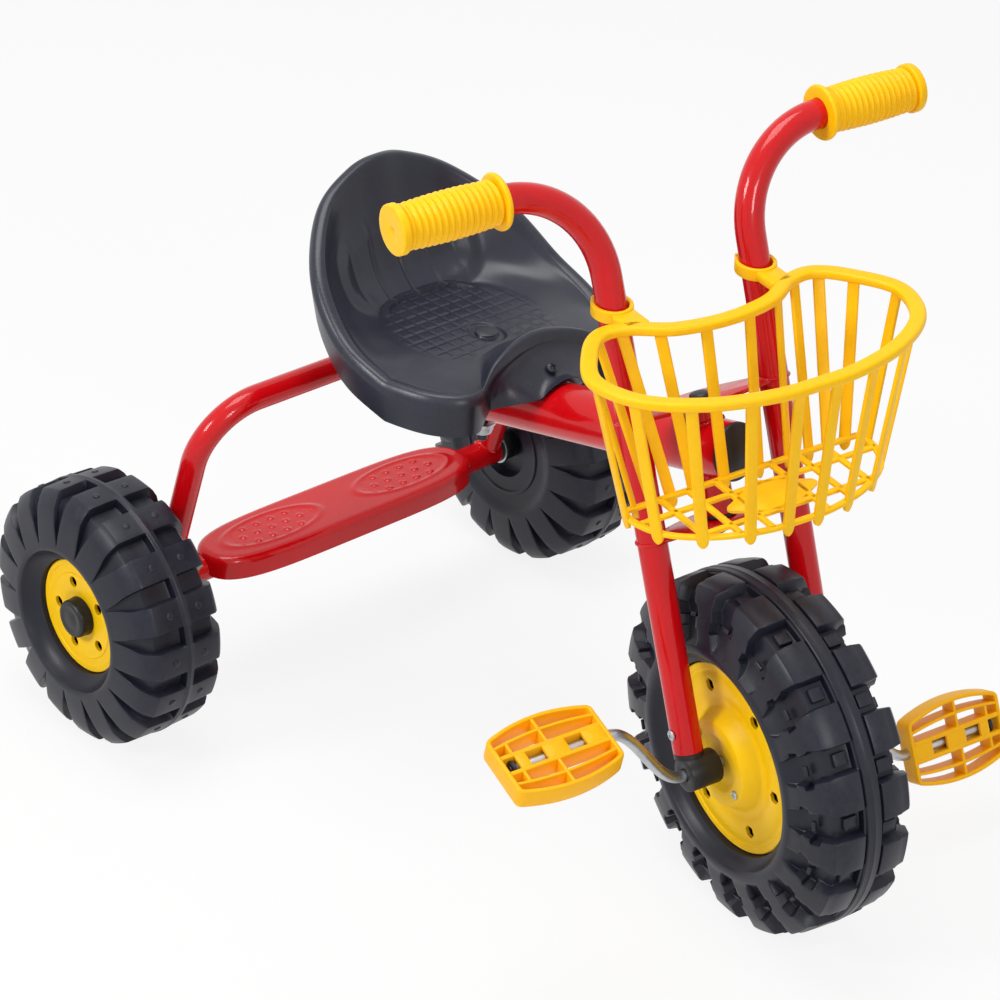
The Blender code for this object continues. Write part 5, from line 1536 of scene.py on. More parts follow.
    def plate_weld(self, side: Side, centre: Array, rise: float) -> Shell:
        """The bead where a plate meets a leg, on the plate's upper face."""
        ring, leg = circle(self.tube_radius, 64), LAYOUT.leg_axis
        line = LAYOUT.leg_point(side, rise) + ring[:, :1] * ACROSS + ring[:, 1:] * np.cross(leg, ACROSS)
        up = LAYOUT.steer_axis
        lift = (centre - line) @ up + self.plate_thickness * 0.35
        return weld(line + (lift / (leg @ up))[:, None] * leg, 0.0014, up, side.value + 2.0)

    def pivot(self) -> None:
        """The steering bolt with its domed head, and its nut."""
        half = self.plate_thickness / 2 + GAP
        above, below = self.plate_levels[0] + half, self.plate_levels[1] - half
        bend = np.linspace(0.06, 1, 8) * math.pi / 2
        dome = np.stack([self.pivot_head * np.sin(bend), above + 0.0008 + 0.0032 * np.cos(bend)], axis=1)
        foot, r, chamfer = below - 1.5 * self.nut_height, self.pivot_radius, 0.0008
        profile = np.vstack([
            [(1e-5, above + 0.004)], dome,
            [(self.pivot_head, above), (r, above), (r, foot + chamfer), (r - chamfer, foot), (1e-5, foot)],
        ])
        at = LAYOUT.fork.aimed(LAYOUT.head, LAYOUT.steer_axis)
        self.add("pivot_bolt", BLACK, at, lathe(profile, 48))
        self.add("pivot_nut", BLACK, at, hexagon(self.nut_radius, below - self.nut_height, below, r + GAP))

    def bearing(self, side: Side) -> None:
        """The plastic bearing: a barrel round the crank rod and a collar up to the leg, with its screw."""
        s = side.value
        barrel = sleeve(self.rod_radius + RUN, self.bearing_radius, *self.bearing_ends, 0.0014, 64)
        barrel = barrel.placed(HERE.aimed(LAYOUT.front_axle, (s, 0, 0)))
        leg = straight(LAYOUT.leg_point(side, 0.0095), LAYOUT.leg_point(side, self.leg_foot - GAP), 6)
        collar = pipe(leg, self.tube_radius, (1, 0, 0), 44, self.tube_radius - 0.003)
        self.add(f"bearing_{side.word}", BLACK, LAYOUT.fork, barrel, collar)
        at = LAYOUT.leg_point(side, self.screw_rise)
        face = s * (LAYOUT.leg_x + self.tube_radius + GAP)
        place = LAYOUT.fork.aimed((face, at[1], at[2]), (s, 0, 0))
        self.add(f"bearing_screw_{side.word}", ZINC, place, screw(0.0038, 0.0018, 0.002, 0.01))


@dataclass
class Basket(Assembly):
    """The slatted basket: rim band, tapered slats, a floor of thin bars and two open clips."""

    body: str = "fork"
    rim_z: float = 0.4396
    depth: float = 0.107
    middle_y: float = -0.102
    back_y: float = -0.074
    rim_width: float = 0.0112
    rim_height: float = 0.0066
    slats: int = 20
    slat: tuple[float, float] = (0.0082, 0.0032)
    feet: float = 0.008
    floor_height: float = 0.003
    taper: float = 0.8
    clip_wall: float = 0.003
    clip_height: float = 0.009
    clip_lip: float = 0.0023
    mouth: float = 0.012
    tube_radius: float = 0.0105
    bar: float = 0.0046
    plate: tuple[float, float] = (0.04, 0.0215)  # half the middle diamond's length and breadth
    rim: tuple[tuple[float, float], ...] = (
        (0.0, -0.052), (0.037, -0.046), (0.063, -0.03), (0.085, -0.028), (0.104, -0.046),
        (0.12, -0.078), (0.108, -0.114), (0.075, -0.139), (0.034, -0.152), (0.0, -0.154),
    )

    @property
    def at(self) -> Place:
        """The rim's plane, with its origin on the line between the legs."""
        rise = (self.rim_z - LAYOUT.front_axle[2]) / LAYOUT.leg_axis[2]
        foot = LAYOUT.leg_point(Side.LEFT, rise)
        return LAYOUT.fork.shifted((0.0, foot[1], foot[2]))

    def lines(self, count: int) -> tuple[Array, Array, Array]:
        """The rim's line, its outward direction and the floor's line below it."""
        rim = spline(mirrored_loop(self.rim), count, closed=True)
        along = np.roll(rim, -1, axis=0) - np.roll(rim, 1, axis=0)
        out = np.stack([along[:, 1], -along[:, 0]], axis=1)
        out /= np.linalg.norm(out, axis=1, keepdims=True)
        centre = np.array([0.0, self.middle_y])
        out *= np.sign(((rim - centre) * out).sum())
        floor = centre + self.taper * (rim - centre)
        floor[:, 1] = np.minimum(floor[:, 1], self.back_y)
        return rim, out, floor

    def build(self) -> None:
        """Joins the rim, slats, floor and clips in one piece."""
        rim, out, floor = self.lines(360)
        level = np.c_[rim, np.zeros(len(rim))]
        band = rounded_box(self.rim_width, self.rim_height, 0.0024, 4)
        shells = [carried(level, band, (0, 0, 1), closed=True)]
        shells += [self.slat_at(rim, out, floor, index) for index in range(self.slats)]
        shells += self.floor_bars(floor)
        for side in Side:
            shells += self.clip(side)
        self.add("basket", YELLOW, self.at, *shells)

    def slat_at(self, rim: Array, out: Array, floor: Array, index: int) -> Shell:
        """A flat slat from the rim to its rounded foot, a rounded section drawn in at the foot."""
        at = int(round(len(rim) * (index + 0.5) / self.slats)) % len(rim)
        facing = np.array([*out[at], 0.0])
        across = np.array([-out[at][1], out[at][0], 0.0])
        top = np.array([*rim[at], 0.001])
        foot = np.array([*floor[at], -self.depth - self.feet])
        round_end = 1 - np.array([0.05, 0.032, 0.018, 0.008, 0.002, 0.0])
        share = np.concatenate([np.linspace(0, 0.93, 8), round_end])[:, None, None]
        last = np.minimum((1 - share) / 0.05, 1)
        wide = np.sqrt(np.clip(1 - (1 - last) ** 2, 0.02, 1))
        section = rounded_box(*self.slat, 0.0012, 3)
        line = top + share * (foot - top)
        return surface(line + section[:, :1] * wide * across + section[:, 1:] * facing)

    def floor_bars(self, floor: Array) -> list[Shell]:
        """The floor's edge band, its bars across and along, and the cross in its middle."""
        low = -self.depth
        edge = np.c_[floor, np.full(len(floor), low)]
        edge = resampled(np.vstack([edge, edge[:1]]), 241)[:-1]
        shells = [carried(edge, rounded_box(0.005, self.floor_height, 0.001, 2), (0, 0, 1), closed=True)]
        middle = (floor[:, 1].min() + self.back_y) / 2
        for x in (-0.066, -0.044, -0.022, 0.022, 0.044, 0.066):
            shells.append(self.bar_between(floor, x, 0))
        for y in (middle - 0.016, middle + 0.016):
            shells.append(self.bar_between(floor, y, 1))
        a, b = self.plate
        outline = rounded([(a, 0), (0, b), (-a, 0), (0, -b)], 0.004, 4, closed=True)
        levels = ((-0.5, 0.97), (-0.3, 1.0), (0.3, 1.0), (0.5, 0.97))
        plate = stacked(outline, [(self.floor_height * h, (scale, scale)) for h, scale in levels])
        return [*shells, plate.placed(HERE.shifted((0.0, middle, low)))]

    def bar_between(self, floor: Array, value: float, axis: int) -> Shell:
        """A bar right across the floor at one X or Y, ending on the floor's line."""
        ahead = np.roll(floor, -1, axis=0)
        a, b = floor[:, axis] - value, ahead[:, axis] - value
        hits = a * b <= 0
        share = (a / np.where(np.abs(a - b) < 1e-12, 1e-12, a - b))[hits, None]
        other = (floor[hits] + share * (ahead - floor)[hits])[:, 1 - axis]
        ends = np.empty((2, 2))
        ends[:, axis] = value
        ends[:, 1 - axis] = (other.min(), other.max())
        return self.flat_bar(ends)

    def flat_bar(self, ends: Array) -> Shell:
        """A thin bar of the floor between two points."""
        line = np.c_[ends, np.full(2, -self.depth)]
        path = straight(line[0], line[1], 4)
        return carried(path, rounded_box(self.bar, self.floor_height, 0.0009, 2), (0, 0, 1))

    def clip(self, side: Side) -> list[Shell]:
        """An open ring round a leg and the bridge that joins it to the rim.

        The leg leans, so the ring is an oval: the leg's radius across, and that over cos(lean) along.
        """
        lean, wall = LAYOUT.fork_rake, self.clip_wall / 2
        inner, up = self.tube_radius + GAP, np.array([0.0, 0.0, self.clip_height / 2])
        a, b = inner + wall, inner / math.cos(lean) + math.tan(lean) * up[2] + wall
        gap = math.asin(self.mouth / 2 / a)
        turn = np.linspace(math.pi / 2 + gap, 2.5 * math.pi - gap, 48)
        x = side.value * LAYOUT.leg_x
        ring = np.stack([x + a * np.cos(turn), b * np.sin(turn), np.zeros_like(turn)], axis=1)
        loop = carried(ring, rounded_box(self.clip_wall, self.clip_height, 0.0009, 3), (0, 0, 1))
        stops = (straight(ring[end] - up, ring[end] + up, 4) for end in (0, -1))
        lips = [pipe(stop, self.clip_lip, ACROSS, 16) for stop in stops]
        web = block((0.018, 0.02, self.rim_height), 0.0014)
        return [loop, *lips, web.placed(HERE.shifted((x, -b - 0.008, 0.0)))]


@dataclass
class RearWheel(Assembly):
    """A rear wheel: moulded tyre, yellow disc, inner bush and the cap on the rod's end."""

    side: Side = Side.LEFT
    rod_radius: float = 0.005
    hub_wall: float = 0.0035
    cap_radius: float = 0.0148
    cap_length: float = 0.0098
    cap_floor: float = 0.003
    flange_radius: float = 0.0115
    disc_thickness: float = 0.0025
    holes: tuple[int, float, float] = (5, 0.0269, 0.0043)
    dish_x: float = 0.037
    pocket_depth: float = 0.009
    inner_face: float = -0.0403
    stud_x: float = 0.0128

    def __post_init__(self) -> None:
        """The wheel rides on the body of its own name."""
        self.body = f"{self.side.word}_rear_wheel"

    def build(self) -> None:
        """Builds the wheel's four pieces."""
        self.tyre()
        self.disc()
        self.hub()

    def tyre(self) -> None:
        """The tyre with its crown rib, lugs and round studs, open to the disc and dished inside."""
        r, w, lip, floor = REAR.radius, REAR.half_width, REAR.lip_radius, REAR.radius - REAR.groove
        rows = np.array([
            (0.0, r, 0.0, r, 0.3, 0, 0.5, 0),
            (0.0005, r - 0.0003, 0.0005, r - 0.0003, 0.3, 0, 0.6, 0),
            (0.0027, r - 0.0003, 0.0027, r - 0.0003, 0.3, 0, 0.6, 0),
            (0.0032, r - 0.0005, 0.0032, r - 0.0008, 0.3, 0, 0.5, 1),
            (0.004, r - 0.0006, 0.0036, floor + 0.0008, 0.3, 0, 0.5, 1),
            (0.0085, r - 0.0007, 0.006, floor, 0.3, 0, 0.5, 1),
            (0.017, r - 0.001, 0.015, floor, 0.302, 0, 0.6, 1),
            (0.0255, r - 0.0013, 0.023, floor, 0.304, 0, 0.8, 1),
            (0.0272, r - 0.0018, 0.0262, floor - 0.0004, 0.306, 0, 1.0, 1),
            (0.031, r - 0.0058, 0.029, floor - 0.004, 0.315, 0, 0.8, 1),
            (0.0348, r - 0.012, 0.0312, 0.0835, 0.328, 0, 0.5, 1),
            (0.0362, 0.085, 0.0324, 0.079, 0.35, 0, 0.4, 1),
            (0.038, 0.076, 0.035, 0.0725, 0.405, 0, 0.3, 1),
            (0.0393, 0.067, 0.0378, 0.066, 0.465, 0, 0.2, 1),
            (0.0398, 0.0615, 0.0398, 0.0615, 0.48, 0, 0.2, 1),
            (w, 0.06, w, 0.06, 0.485, 0, 0.6, 0), (w, 0.0575, w, 0.0575, 0.485, 0, 0.7, 0),
            (w - 0.0006, lip - 0.0006, w - 0.0006, lip - 0.0006, 0.49, 0, 0.7, 0),
        ])
        seat_x = REAR.disc_x - self.disc_thickness - GAP
        hole, pocket = self.rod_radius + self.hub_wall, self.pocket_depth - self.dish_x
        inner = np.array([
            (w - 0.002, lip - 0.0014), (w - 0.006, lip - 0.0034), (REAR.disc_x + 0.004, 0.0475),
            (REAR.disc_x + 0.0034, 0.0458), (seat_x, REAR.disc_radius + GAP), (seat_x, 0.039),
            (seat_x - 0.003, 0.039), (seat_x - 0.003, 0.0462), (0.02, 0.052), (-0.02, 0.052),
            (-0.024, 0.04), (pocket + 0.003, 0.0275), (pocket + 0.003, hole), (pocket, hole),
            (pocket, 0.0245), (-self.dish_x, 0.0265), (-self.dish_x, lip - 0.008),
            (-self.dish_x - 0.0006, lip - 0.0045),
        ])
        shells = [REAR.skin(rows, inner)]
        stud = self.stud()
        for lug in range(REAR.lugs):
            turn = REAR.phase + lug * REAR.pitch
            shells += [REAR.on_tread(stud, sign * self.stud_x, r - 0.0012, turn) for sign in (1, -1)]
        shells.append(self.inner_ring())
        self.add(f"rear_tyre_{self.side.word}", TYRE, LAYOUT.wheel(self.side), *shells)

    def stud(self) -> Shell:
        """A low round stud with a rounded edge."""
        profile = [(0.0028, -0.0008), (0.0028, 0.0006), (0.0024, 0.001), (0.0016, 0.00115), (1e-5, 0.0012)]
        return lathe(profile, 14, wear=np.array([0, 0.4, 1.0, 1.0, 1.0]))

    def inner_ring(self) -> Shell:
        """A raised ring on the dished inner wall."""
        ring = np.c_[circle(0.04, 96), np.full(96, -self.dish_x)]
        return carried(ring, rounded_box(0.003, 0.0024, 0.0008, 2), (0, 0, 1), closed=True)

    def disc(self) -> None:
        """The disc: a shallow dish with a raised ring, a recessed hub and five round holes."""
        face = REAR.disc_x
        back, floor = face - self.disc_thickness, face - 0.001
        bore, big, cap = self.rod_radius + RUN, REAR.disc_radius, self.cap_radius
        profile = [
            (bore, floor), (bore, face - 0.014), (bore + 0.003, face - 0.014), (bore + 0.004, back),
            (big, back), (big, face - 0.0006), (big - 0.0006, face), (big - 0.004, face),
            (big - 0.0046, face - 0.0006), (big - 0.0105, face - 0.0006), (big - 0.0112, face),
            (cap + 0.0052, face), (cap + 0.0044, face - 0.0004), (cap + 0.003, face - 0.0006),
            (cap + 0.0016, floor),
        ]
        place = LAYOUT.wheel(self.side)
        mesh = built("disc", [lathe(profile, 120, closed=True).placed(place)])
        count, ring, size = self.holes
        tools = [drill(size, 32).placed(place.spoke(ring, t)) for t in self.side.round_wheel(count)]
        self.add_mesh(f"rear_disc_{self.side.word}", DISC, cut(mesh, tools))

    def hub(self) -> None:
        """The cap over the rod's end, and the bush that runs against the washer."""
        place = LAYOUT.wheel(self.side)
        face, r, rod = REAR.disc_x, self.cap_radius, self.rod_radius
        top, foot = face + self.cap_length, face - 0.001 + GAP
        rod_end, bore = top - self.cap_floor + GAP, rod + 2 * GAP
        profile = [
            (1e-5, top), (0.3 * r, top), (0.4 * r, top - 0.0005), (0.66 * r, top - 0.0005),
            (0.74 * r, top - 0.0001), (r - 0.0022, top - 0.0003), (r - 0.001, top - 0.0009),
            (r - 0.0003, top - 0.002), (r, top - 0.0034), (r, foot + 0.0016 - GAP),
            (r + 0.0004, foot + 0.001 - GAP), (r + 0.0004, foot), (bore, foot), (bore, rod_end),
            (1e-5, rod_end),
        ]
        self.add(f"hub_cap_{self.side.word}", BLACK, place, lathe(profile, 72))
        pocket, outer, bore = self.pocket_depth - self.dish_x, rod + self.hub_wall - GAP, rod + RUN
        corners = [
            (bore, self.inner_face), (bore, pocket + 0.006), (outer, pocket + 0.006), (outer, pocket - GAP),
            (self.flange_radius, pocket - GAP), (self.flange_radius, self.inner_face),
        ]
        self.add(f"hub_bush_{self.side.word}", BLACK, place, turned_ring(corners, 0.0006, 56))


@dataclass
class FrontWheel(Assembly):
    """The front wheel: moulded tyre, two discs with a raised boss, their screws and the crank rod."""

    body: str = "front_wheel"
    rod_radius: float = 0.004
    throw: float = 0.068
    crank_turn: float = math.radians(280.0)
    crank_foot: float = 0.0675  # where the rod starts to swing out
    crank_head: float = 0.1365  # where it is level with its pin
    pin_end: float = 0.209
    disc_thickness: float = 0.0025
    boss_top: float = 0.039
    holes: tuple[int, float, float] = (6, 0.0533, 0.0047)
    screws: tuple[float, float] = (math.pi / 6, 7 * math.pi / 6)
    screw_circle: float = 0.026
    pedal_middle: float = 0.178
    pedal_half: float = 0.041
    pin_short: float = 0.01
    cap_radius: float = 0.0065
    rod_chamfer: float = 0.0007
    rod_end_share: float = 0.78
    swing_steps: int = 36

    def build(self) -> None:
        """Builds everything that turns with the front wheel."""
        self.tyre()
        for side in Side:
            self.disc(side)
            self.pedal_cap(side)
        self.crank()

    def tyre(self) -> None:
        """The tyre: a crown band, staggered blocks that run down the side walls as stepped ribs."""
        r, w, lip, floor = FRONT.radius, FRONT.half_width, FRONT.lip_radius, FRONT.radius - FRONT.groove
        rows = np.array([
            (0.0, r, 0.0, r, 0.3, 0, 0.6, 0),
            (0.0005, r - 0.0003, 0.0005, r - 0.0003, 0.3, 0, 0.6, 0),
            (0.005, r - 0.0003, 0.005, r - 0.0003, 0.3, 0, 0.6, 0),
            (0.0056, r - 0.0008, 0.0056, r - 0.0008, 0.3, 0, 0.2, 0),
            (0.006, r - 0.0026, 0.006, r - 0.0026, 0.3, 0, 0.0, 0),
            (0.0072, r - 0.0027, 0.0072, r - 0.0034, 0.3, 0, 0.0, 1),
            (0.0077, r - 0.0008, 0.0076, floor + 0.0006, 0.3, 0, 0.6, 1),
            (0.0084, r - 0.0004, 0.009, floor, 0.3, 0, 0.9, 1),
            (0.015, r - 0.0006, 0.015, floor, 0.3, 0, 0.8, 1),
            (0.0222, r - 0.001, 0.0215, floor, 0.3, 0, 1.0, 1),
            (0.0236, r - 0.0018, 0.024, floor - 0.0002, 0.3, 0, 0.8, 1),
            (0.0295, r - 0.0026, 0.0252, floor - 0.002, 0.285, 0.0, 0.8, 1),
            (0.0316, r - 0.0048, 0.0268, floor - 0.006, 0.28, 0.0, 1.0, 1),
            (0.035, 0.117, 0.0275, 0.112, 0.25, 0.0, 0.5, 1),
            (0.0356, 0.1155, 0.0279, 0.1108, 0.215, 0.06, 0.4, 1),
            (0.0375, 0.108, 0.0294, 0.105, 0.215, 0.1, 0.3, 1),
            (0.0377, 0.107, 0.0297, 0.1042, 0.215, 0.03, 0.3, 1),
            (0.039, 0.1, 0.0322, 0.0985, 0.215, 0.01, 0.3, 1),
            (0.0392, 0.099, 0.0326, 0.0978, 0.22, 0.08, 0.3, 1),
            (0.04, 0.0915, 0.0364, 0.0905, 0.25, 0.11, 0.3, 1),
            (0.0404, 0.0872, 0.0404, 0.0872, 0.3, 0.09, 0.2, 1),
            (w, 0.086, w, 0.086, 0.3, 0, 0.5, 0), (w, 0.0815, w, 0.0815, 0.3, 0, 0.7, 0),
            (w - 0.0007, lip - 0.0002, w - 0.0007, lip - 0.0002, 0.3, 0, 0.7, 0),
        ])
        seat_x = FRONT.disc_x - self.disc_thickness - GAP
        wall = np.array([
            (w - 0.002, lip - 0.0014), (w - 0.006, lip - 0.0034), (FRONT.disc_x + 0.0045, 0.0732),
            (FRONT.disc_x + 0.0034, 0.0712), (seat_x, FRONT.disc_radius + GAP), (seat_x, 0.063),
            (seat_x - 0.003, 0.063), (seat_x - 0.003, 0.0712), (0.02, 0.086),
        ])
        inner = np.vstack([wall, wall[::-1] * np.array([-1.0, 1.0])])
        shells = [FRONT.skin(rows, inner)]
        pad, bar = block((0.0095, 0.0105, 0.0034), 0.0008), block((0.0075, 0.0032, 0.0024), 0.0007)
        for piece_block in (pad, bar):
            piece_block.wear[:] = smooth_step(piece_block.points[:, 2], 0.0, 0.001)
        for sign in (1, -1):
            shift, tilt = 0.5 * FRONT.pitch + sign * FRONT.stagger / 2, sign * math.radians(62.0)
            for turn in FRONT.phase + np.arange(FRONT.lugs) * FRONT.pitch + shift:
                shells.append(FRONT.on_tread(pad, sign * 0.0155, floor + 0.0012, turn))
                shells.append(FRONT.on_tread(bar, sign * 0.033, 0.1062, turn + 0.09 * FRONT.pitch, tilt))
        self.add("front_tyre", TYRE, LAYOUT.front_wheel(Side.LEFT), *shells)

    def disc(self, side: Side) -> None:
        """A disc with a stepped boss and six holes, and its two screws."""
        face, top, big = FRONT.disc_x, self.boss_top, FRONT.disc_radius
        back, under, bore = face - self.disc_thickness, top - self.disc_thickness, self.rod_radius + GAP
        profile = [
            (bore, top - 0.004), (bore, face - 0.012), (bore + 0.004, face - 0.012),
            (bore + 0.005, top - 0.0065), (0.022, under), (0.029, under), (0.035, back), (big, back),
            (big, face - 0.0007), (big - 0.0007, face), (big - 0.0045, face), (big - 0.0052, face - 0.0006),
            (0.062, face - 0.0006), (0.0612, face), (0.046, face), (0.0452, face - 0.0006),
            (0.04, face - 0.0006), (0.0385, face - 0.0002), (0.0375, face + 0.0004),
            (0.0316, top - 0.0008), (0.0308, top - 0.0002), (0.0298, top), (0.0218, top),
            (0.0208, top - 0.0004), (0.0178, top - 0.0036), (0.0166, top - 0.004),
        ]
        place = LAYOUT.front_wheel(side)
        mesh = built("disc", [lathe(profile, 144, closed=True).placed(place)])
        count, ring, size = self.holes
        outline = rounded(circle(size * 1.06, 6), 0.0014, 4, closed=True)
        cutter = stacked(outline, [(-0.1, (1, 1)), (0.1, (1, 1))])
        turned = [place.spoke(ring, t).turned((0, 0, 1), t) for t in side.round_wheel(count)]
        screw_turns = [math.pi / 2 + side.value * t for t in self.screws]
        tools = [cutter.placed(at) for at in turned]
        tools += [drill(0.0018, 12).placed(place.spoke(self.screw_circle, t)) for t in screw_turns]
        self.add_mesh(f"front_disc_{side.word}", DISC, cut(mesh, tools))
        for index, t in enumerate(screw_turns, 1):
            at = place.spoke(self.screw_circle, t, top + GAP)
            self.add(f"disc_screw_{side.word}_{index}", ZINC, at, screw(0.0032, 0.0014, 0.0014, 0.006))

    @property
    def axes(self) -> Place:
        """The wheel's centre with the fork's directions."""
        return LAYOUT.fork.shifted(LAYOUT.front_axle)

    def crank(self) -> None:
        """The bent rod, each crank an S: x across, and the pin's reach (3 t^2 - 2 t^3) outwards."""
        reach = self.pin(Side.LEFT) * (0.0, 1.0, 1.0)
        x = np.linspace(self.crank_foot, self.crank_head, self.swing_steps)
        x = np.concatenate([[0.0], x, [self.pin_end - self.rod_chamfer, self.pin_end]])[:, None]
        half = x * ACROSS + smooth_step(x, self.crank_foot, self.crank_head) * reach
        path = np.vstack([half[::-1], -half[1:]])
        share = np.ones((len(path), 1, 1))
        share[[0, -1]] = self.rod_end_share
        rod = carried(path, circle(self.rod_radius, 32) * share, np.cross(ACROSS, unit(reach)))
        self.add("crank_rod", ZINC, self.axes, rod)

    def pin(self, side: Side) -> Array:
        """The middle of a pedal, from the wheel's centre."""
        angle = self.crank_turn
        reach = np.array([0.0, self.throw * math.cos(angle), self.throw * math.sin(angle)])
        return side.value * (np.array([self.pedal_middle, 0.0, 0.0]) + reach)

    def pedal_cap(self, side: Side) -> None:
        """The double-stepped push cap on a pin's end."""
        end, r, bore = self.pedal_half - self.pin_short, self.cap_radius, self.rod_radius + GAP
        skirt = end - 0.0005
        profile = [
            (1e-5, end + 0.0035), (0.5 * r, end + 0.0035), (0.58 * r, end + 0.0032),
            (0.6 * r, end + 0.0024), (0.86 * r, end + 0.0022), (r, end + 0.0014), (r, skirt),
            (bore, skirt), (bore, end + GAP), (1e-5, end + GAP),
        ]
        at = self.axes.aimed(self.pin(side), (side.value, 0, 0))
        self.add(f"pedal_cap_{side.word}", BLACK, at, lathe(profile, 48))


@dataclass
class Pedal(Assembly):
    """A barrel-shaped open pedal: a rim wall, a spine with two windows, curved ribs and cross ribs."""

    side: Side = Side.LEFT
    half: float = 0.0405
    end_half: float = 0.023
    middle_half: float = 0.031
    thickness: float = 0.016
    wall: float = 0.003
    rib: float = 0.0023
    spine_half: float = 0.0085
    rail: float = 0.0034
    windows: tuple[tuple[float, float], ...] = ((-0.0225, -0.0095), (0.0075, 0.0205))
    pocket: float = 0.0285
    turns: tuple[float, float] = (math.radians(67.0), math.radians(16.6))

    def __post_init__(self) -> None:
        """The pedal rides on the body of its own side."""
        self.body = f"{self.side.word}_pedal"

    def build(self) -> None:
        """Joins the walls, ribs and spine of the pedal in one piece."""
        wheel = FrontWheel()
        turn = self.turns[0] if self.side is Side.LEFT else self.turns[1]
        at = wheel.axes.shifted(wheel.pin(self.side)).turned((1, 0, 0), turn)
        self.add(f"pedal_{self.side.word}", AMBER, at, self.rim(), *self.ribs(), *self.spine())

    def bulge(self, x: float | Array) -> float | Array:
        """The outline's half breadth: end + (middle - end) (1 - (x / half)^2)."""
        return self.end_half + (self.middle_half - self.end_half) * (1 - (x / self.half) ** 2)

    def rim(self) -> Shell:
        """The outer wall, a barrel with rounded corners."""
        x = np.linspace(-1, 1, 21) * (self.half - self.wall / 2)
        y = self.bulge(x) - self.wall / 2
        corners = np.vstack([np.stack([x, y], axis=1), np.stack([x, -y], axis=1)[::-1]])
        outline = rounded(corners, 0.0065, 6, closed=True)
        path = resampled(np.vstack([outline, outline[:1]]), 121)[:-1]
        section = rounded_box(self.wall, self.thickness, 0.001, 3)
        return carried(np.c_[path, np.zeros(len(path))], section, (0, 0, 1), closed=True)

    def ribs(self) -> list[Shell]:
        """A curved rib half way out on each side, and the cross ribs from the spine."""
        across = self.side.value
        shells = []
        x = np.linspace(-1, 1, 30) * (self.half - self.wall)
        between = (self.bulge(x) - self.wall / 2 + self.spine_half) / 2
        long = rounded_box(self.rib, self.thickness - 0.0012, 0.0008, 3)
        for flip in (1, -1):
            shells.append(carried(np.stack([x, flip * between, 0 * x], axis=1), long, (0, 0, 1)))
            for x_at, reach in ((across * 0.002, 1.0), (across * self.pocket, 0.5)):
                low, top = self.spine_half - self.rail / 2, float(self.bulge(x_at)) - self.wall / 2
                far = low + reach * (top - low)
                path = straight(np.array([x_at, flip * low, 0.0]), np.array([x_at, flip * far, 0.0]), 4)
                shells.append(carried(path, long, (0, 0, 1)))
        return shells

    def spine(self) -> list[Shell]:
        """Two long rails over the rod, joined by flat bridges that leave the windows open."""
        across, half = self.side.value, self.half - self.wall
        rails = self.spine_half - self.rail / 2
        shells = []
        rail = rounded_box(self.rail, self.thickness - 0.0006, 0.0009, 3)
        for flip in (1, -1):
            ends = np.array([-half, flip * rails, 0.0]), np.array([half, flip * rails, 0.0])
            shells.append(carried(straight(*ends, 6), rail, (0, 0, 1)))
        (a, b), (c, d) = self.windows
        for low, high in ((-half, a), (b, c), (d, self.pocket)):
            for face in (1, -1):
                bridge = block((high - low, 2 * rails + 0.001, 0.0032), 0.0006)
                middle = (across * (low + high) / 2, 0.0, face * (self.thickness / 2 - 0.0021))
                shells.append(bridge.placed(HERE.shifted(middle)))
        return shells


# The studio


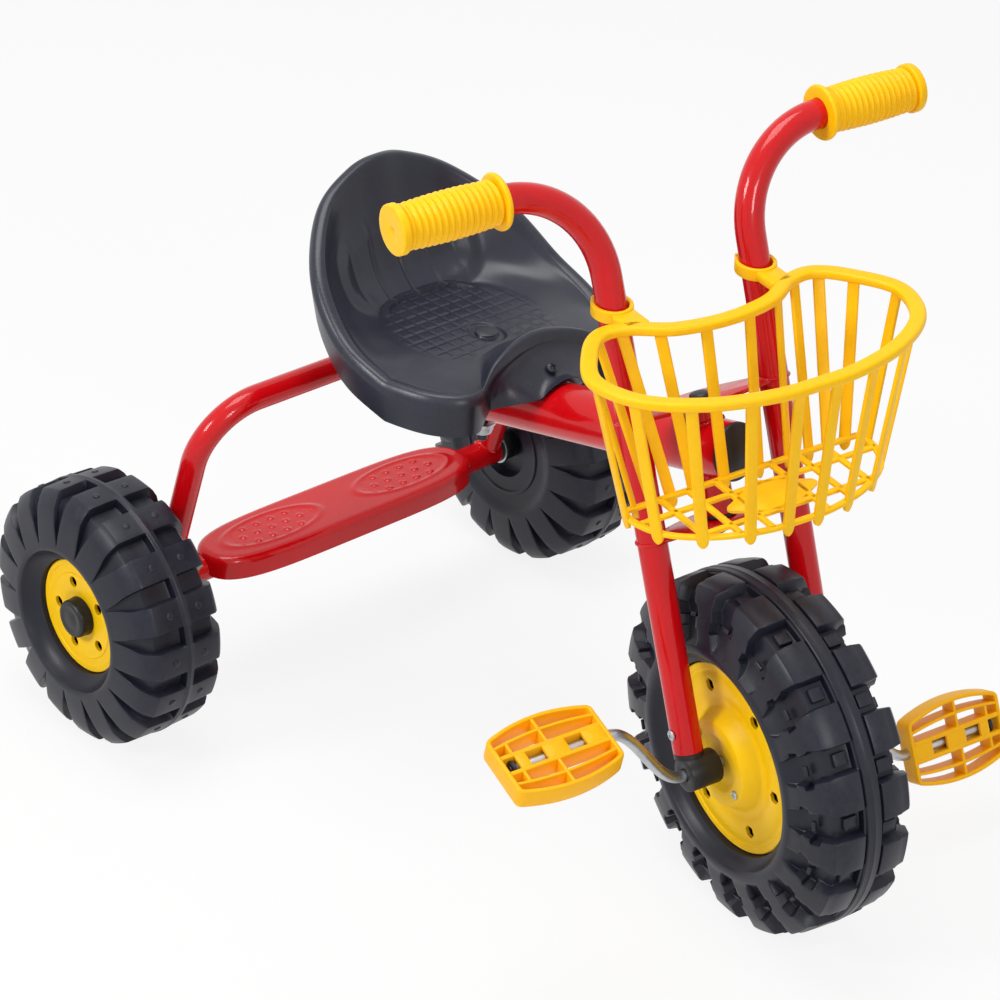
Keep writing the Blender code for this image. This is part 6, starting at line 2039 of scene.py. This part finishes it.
@dataclass(frozen=True)
class Studio:
    """The plain pale floor, the soft lamps and the camera."""

    camera_at: tuple[float, float, float] = (-1.453764, -1.460658, 1.393592)
    camera_right: tuple[float, float, float] = (0.73789399, -0.67367803, 0.04087012)
    camera_up: tuple[float, float, float] = (0.30677138, 0.38871999, 0.86878541)
    lens: float = 118.292
    sensor: float = 36.0
    floor_half: float = 6.0
    floor_glow: float = 0.86

    def build(self) -> None:
        """Sets the stage round the object."""
        self.floor()
        self.world()
        self.lamps()
        self.camera()

    def seen(self, graph: Graph) -> Socket:
        """1 for rays from the camera, from glossy surfaces and through clear ones."""
        path = graph.add("LightPath").outputs
        first = graph.math("MAXIMUM", path["Is Camera Ray"], path["Is Glossy Ray"])
        return graph.math("MAXIMUM", first, path["Is Transmission Ray"])

    def floor(self) -> None:
        """A wide plane, its colour part glow for the camera so that it is white and keeps a shadow."""
        h = self.floor_half
        mesh = bpy.data.meshes.new("floor")
        mesh.from_pydata([(-h, -h, 0), (h, -h, 0), (h, h, 0), (-h, h, 0)], [], [(0, 1, 2, 3)])
        obj = bpy.data.objects.new("floor", mesh)
        bpy.context.scene.collection.objects.link(obj)
        made = bpy.data.materials.new("floor")
        made.use_nodes = True
        graph = Graph(made.node_tree)
        made.node_tree.nodes.remove(made.node_tree.nodes["Principled BSDF"])
        at = graph.add("TexCoord").outputs["Object"]
        tone = graph.mix(graph.noise(at, 3.0, 3.0), (0.84, 0.84, 0.84, 1.0), (0.88, 0.88, 0.88, 1.0))
        plain = graph.add("BsdfDiffuse", {"Color": tone}).outputs[0]
        glow = graph.add("Emission", {"Color": (1.0, 1.0, 1.0, 1.0), "Strength": 1.0}).outputs[0]
        share = graph.math("MULTIPLY", self.seen(graph), self.floor_glow)
        mixed = graph.add("MixShader", {0: share, 1: plain, 2: glow}).outputs[0]
        made.node_tree.links.new(mixed, made.node_tree.nodes["Material Output"].inputs["Surface"])
        mesh.materials.append(made)

    def world(self) -> None:
        """White where it is seen, and a plain soft grey as a light."""
        world = bpy.data.worlds.new("studio")
        world.use_nodes = True
        bpy.context.scene.world = world
        graph = Graph(world.node_tree)
        strength = graph.ramp(self.seen(graph), 0.0, 1.0, 0.42, 1.0)
        background = world.node_tree.nodes["Background"].inputs
        graph.feed(background["Color"], (1.0, 1.0, 1.0, 1.0))
        graph.feed(background["Strength"], strength)

    def lamps(self) -> None:
        """Three large soft lamps: overhead, on the rider's right and in front."""
        for name, at, size, power in (
            ("overhead", (-0.2, 0.3, 2.4), 1.2, 25.0),
            ("right", (-2.3, 0.5, 1.7), 0.7, 29.0),
            ("front", (-0.9, -2.3, 1.5), 0.6, 16.0),
        ):
            lamp = bpy.data.lights.new(name, "AREA")
            lamp.shape = "SQUARE"
            lamp.size = size
            lamp.energy = power
            obj = bpy.data.objects.new(name, lamp)
            towards = unit(np.array([0.0, 0.0, 0.2]) - np.asarray(at))
            across = unit(np.cross(towards, (0.0, 0.0, 1.0)))
            self.stand(obj, np.stack([across, np.cross(across, towards), -towards], axis=1), at)

    def stand(self, obj: bpy.types.Object, basis: Array, at: Sequence[float]) -> None:
        """Sets a lamp or the camera in the scene, by its three directions and its place."""
        rows = np.eye(4)
        rows[:3, :3], rows[:3, 3] = basis, at
        obj.matrix_world = Matrix(rows.tolist())
        bpy.context.scene.collection.objects.link(obj)

    def camera(self) -> None:
        """The camera, from its place and its own right and up."""
        lens = bpy.data.cameras.new("camera")
        lens.lens, lens.sensor_width, lens.clip_end = self.lens, self.sensor, 50.0
        obj = bpy.data.objects.new("camera", lens)
        right, up = unit(self.camera_right), np.asarray(self.camera_up)
        up = unit(up - right * (up @ right))
        self.stand(obj, np.stack([right, up, np.cross(right, up)], axis=1), self.camera_at)
        bpy.context.scene.camera = obj
        bpy.context.scene.view_settings.view_transform = "Standard"


def main() -> None:
    """Builds the tricycle's sub-assemblies in order, then the studio."""
    logging.basicConfig(level=logging.INFO, format="%(name)s %(message)s")
    Studio().build()
    assemblies: list[Assembly] = [
        BackFrame(), StepPlate(), Seat(), Fork(), Basket(), FrontWheel(), *(Pedal(side=s) for s in Side),
        *(RearWheel(side=s) for s in Side),
    ]
    for assembly in assemblies:
        assembly.build()
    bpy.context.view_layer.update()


if __name__ == "__main__":
    main()
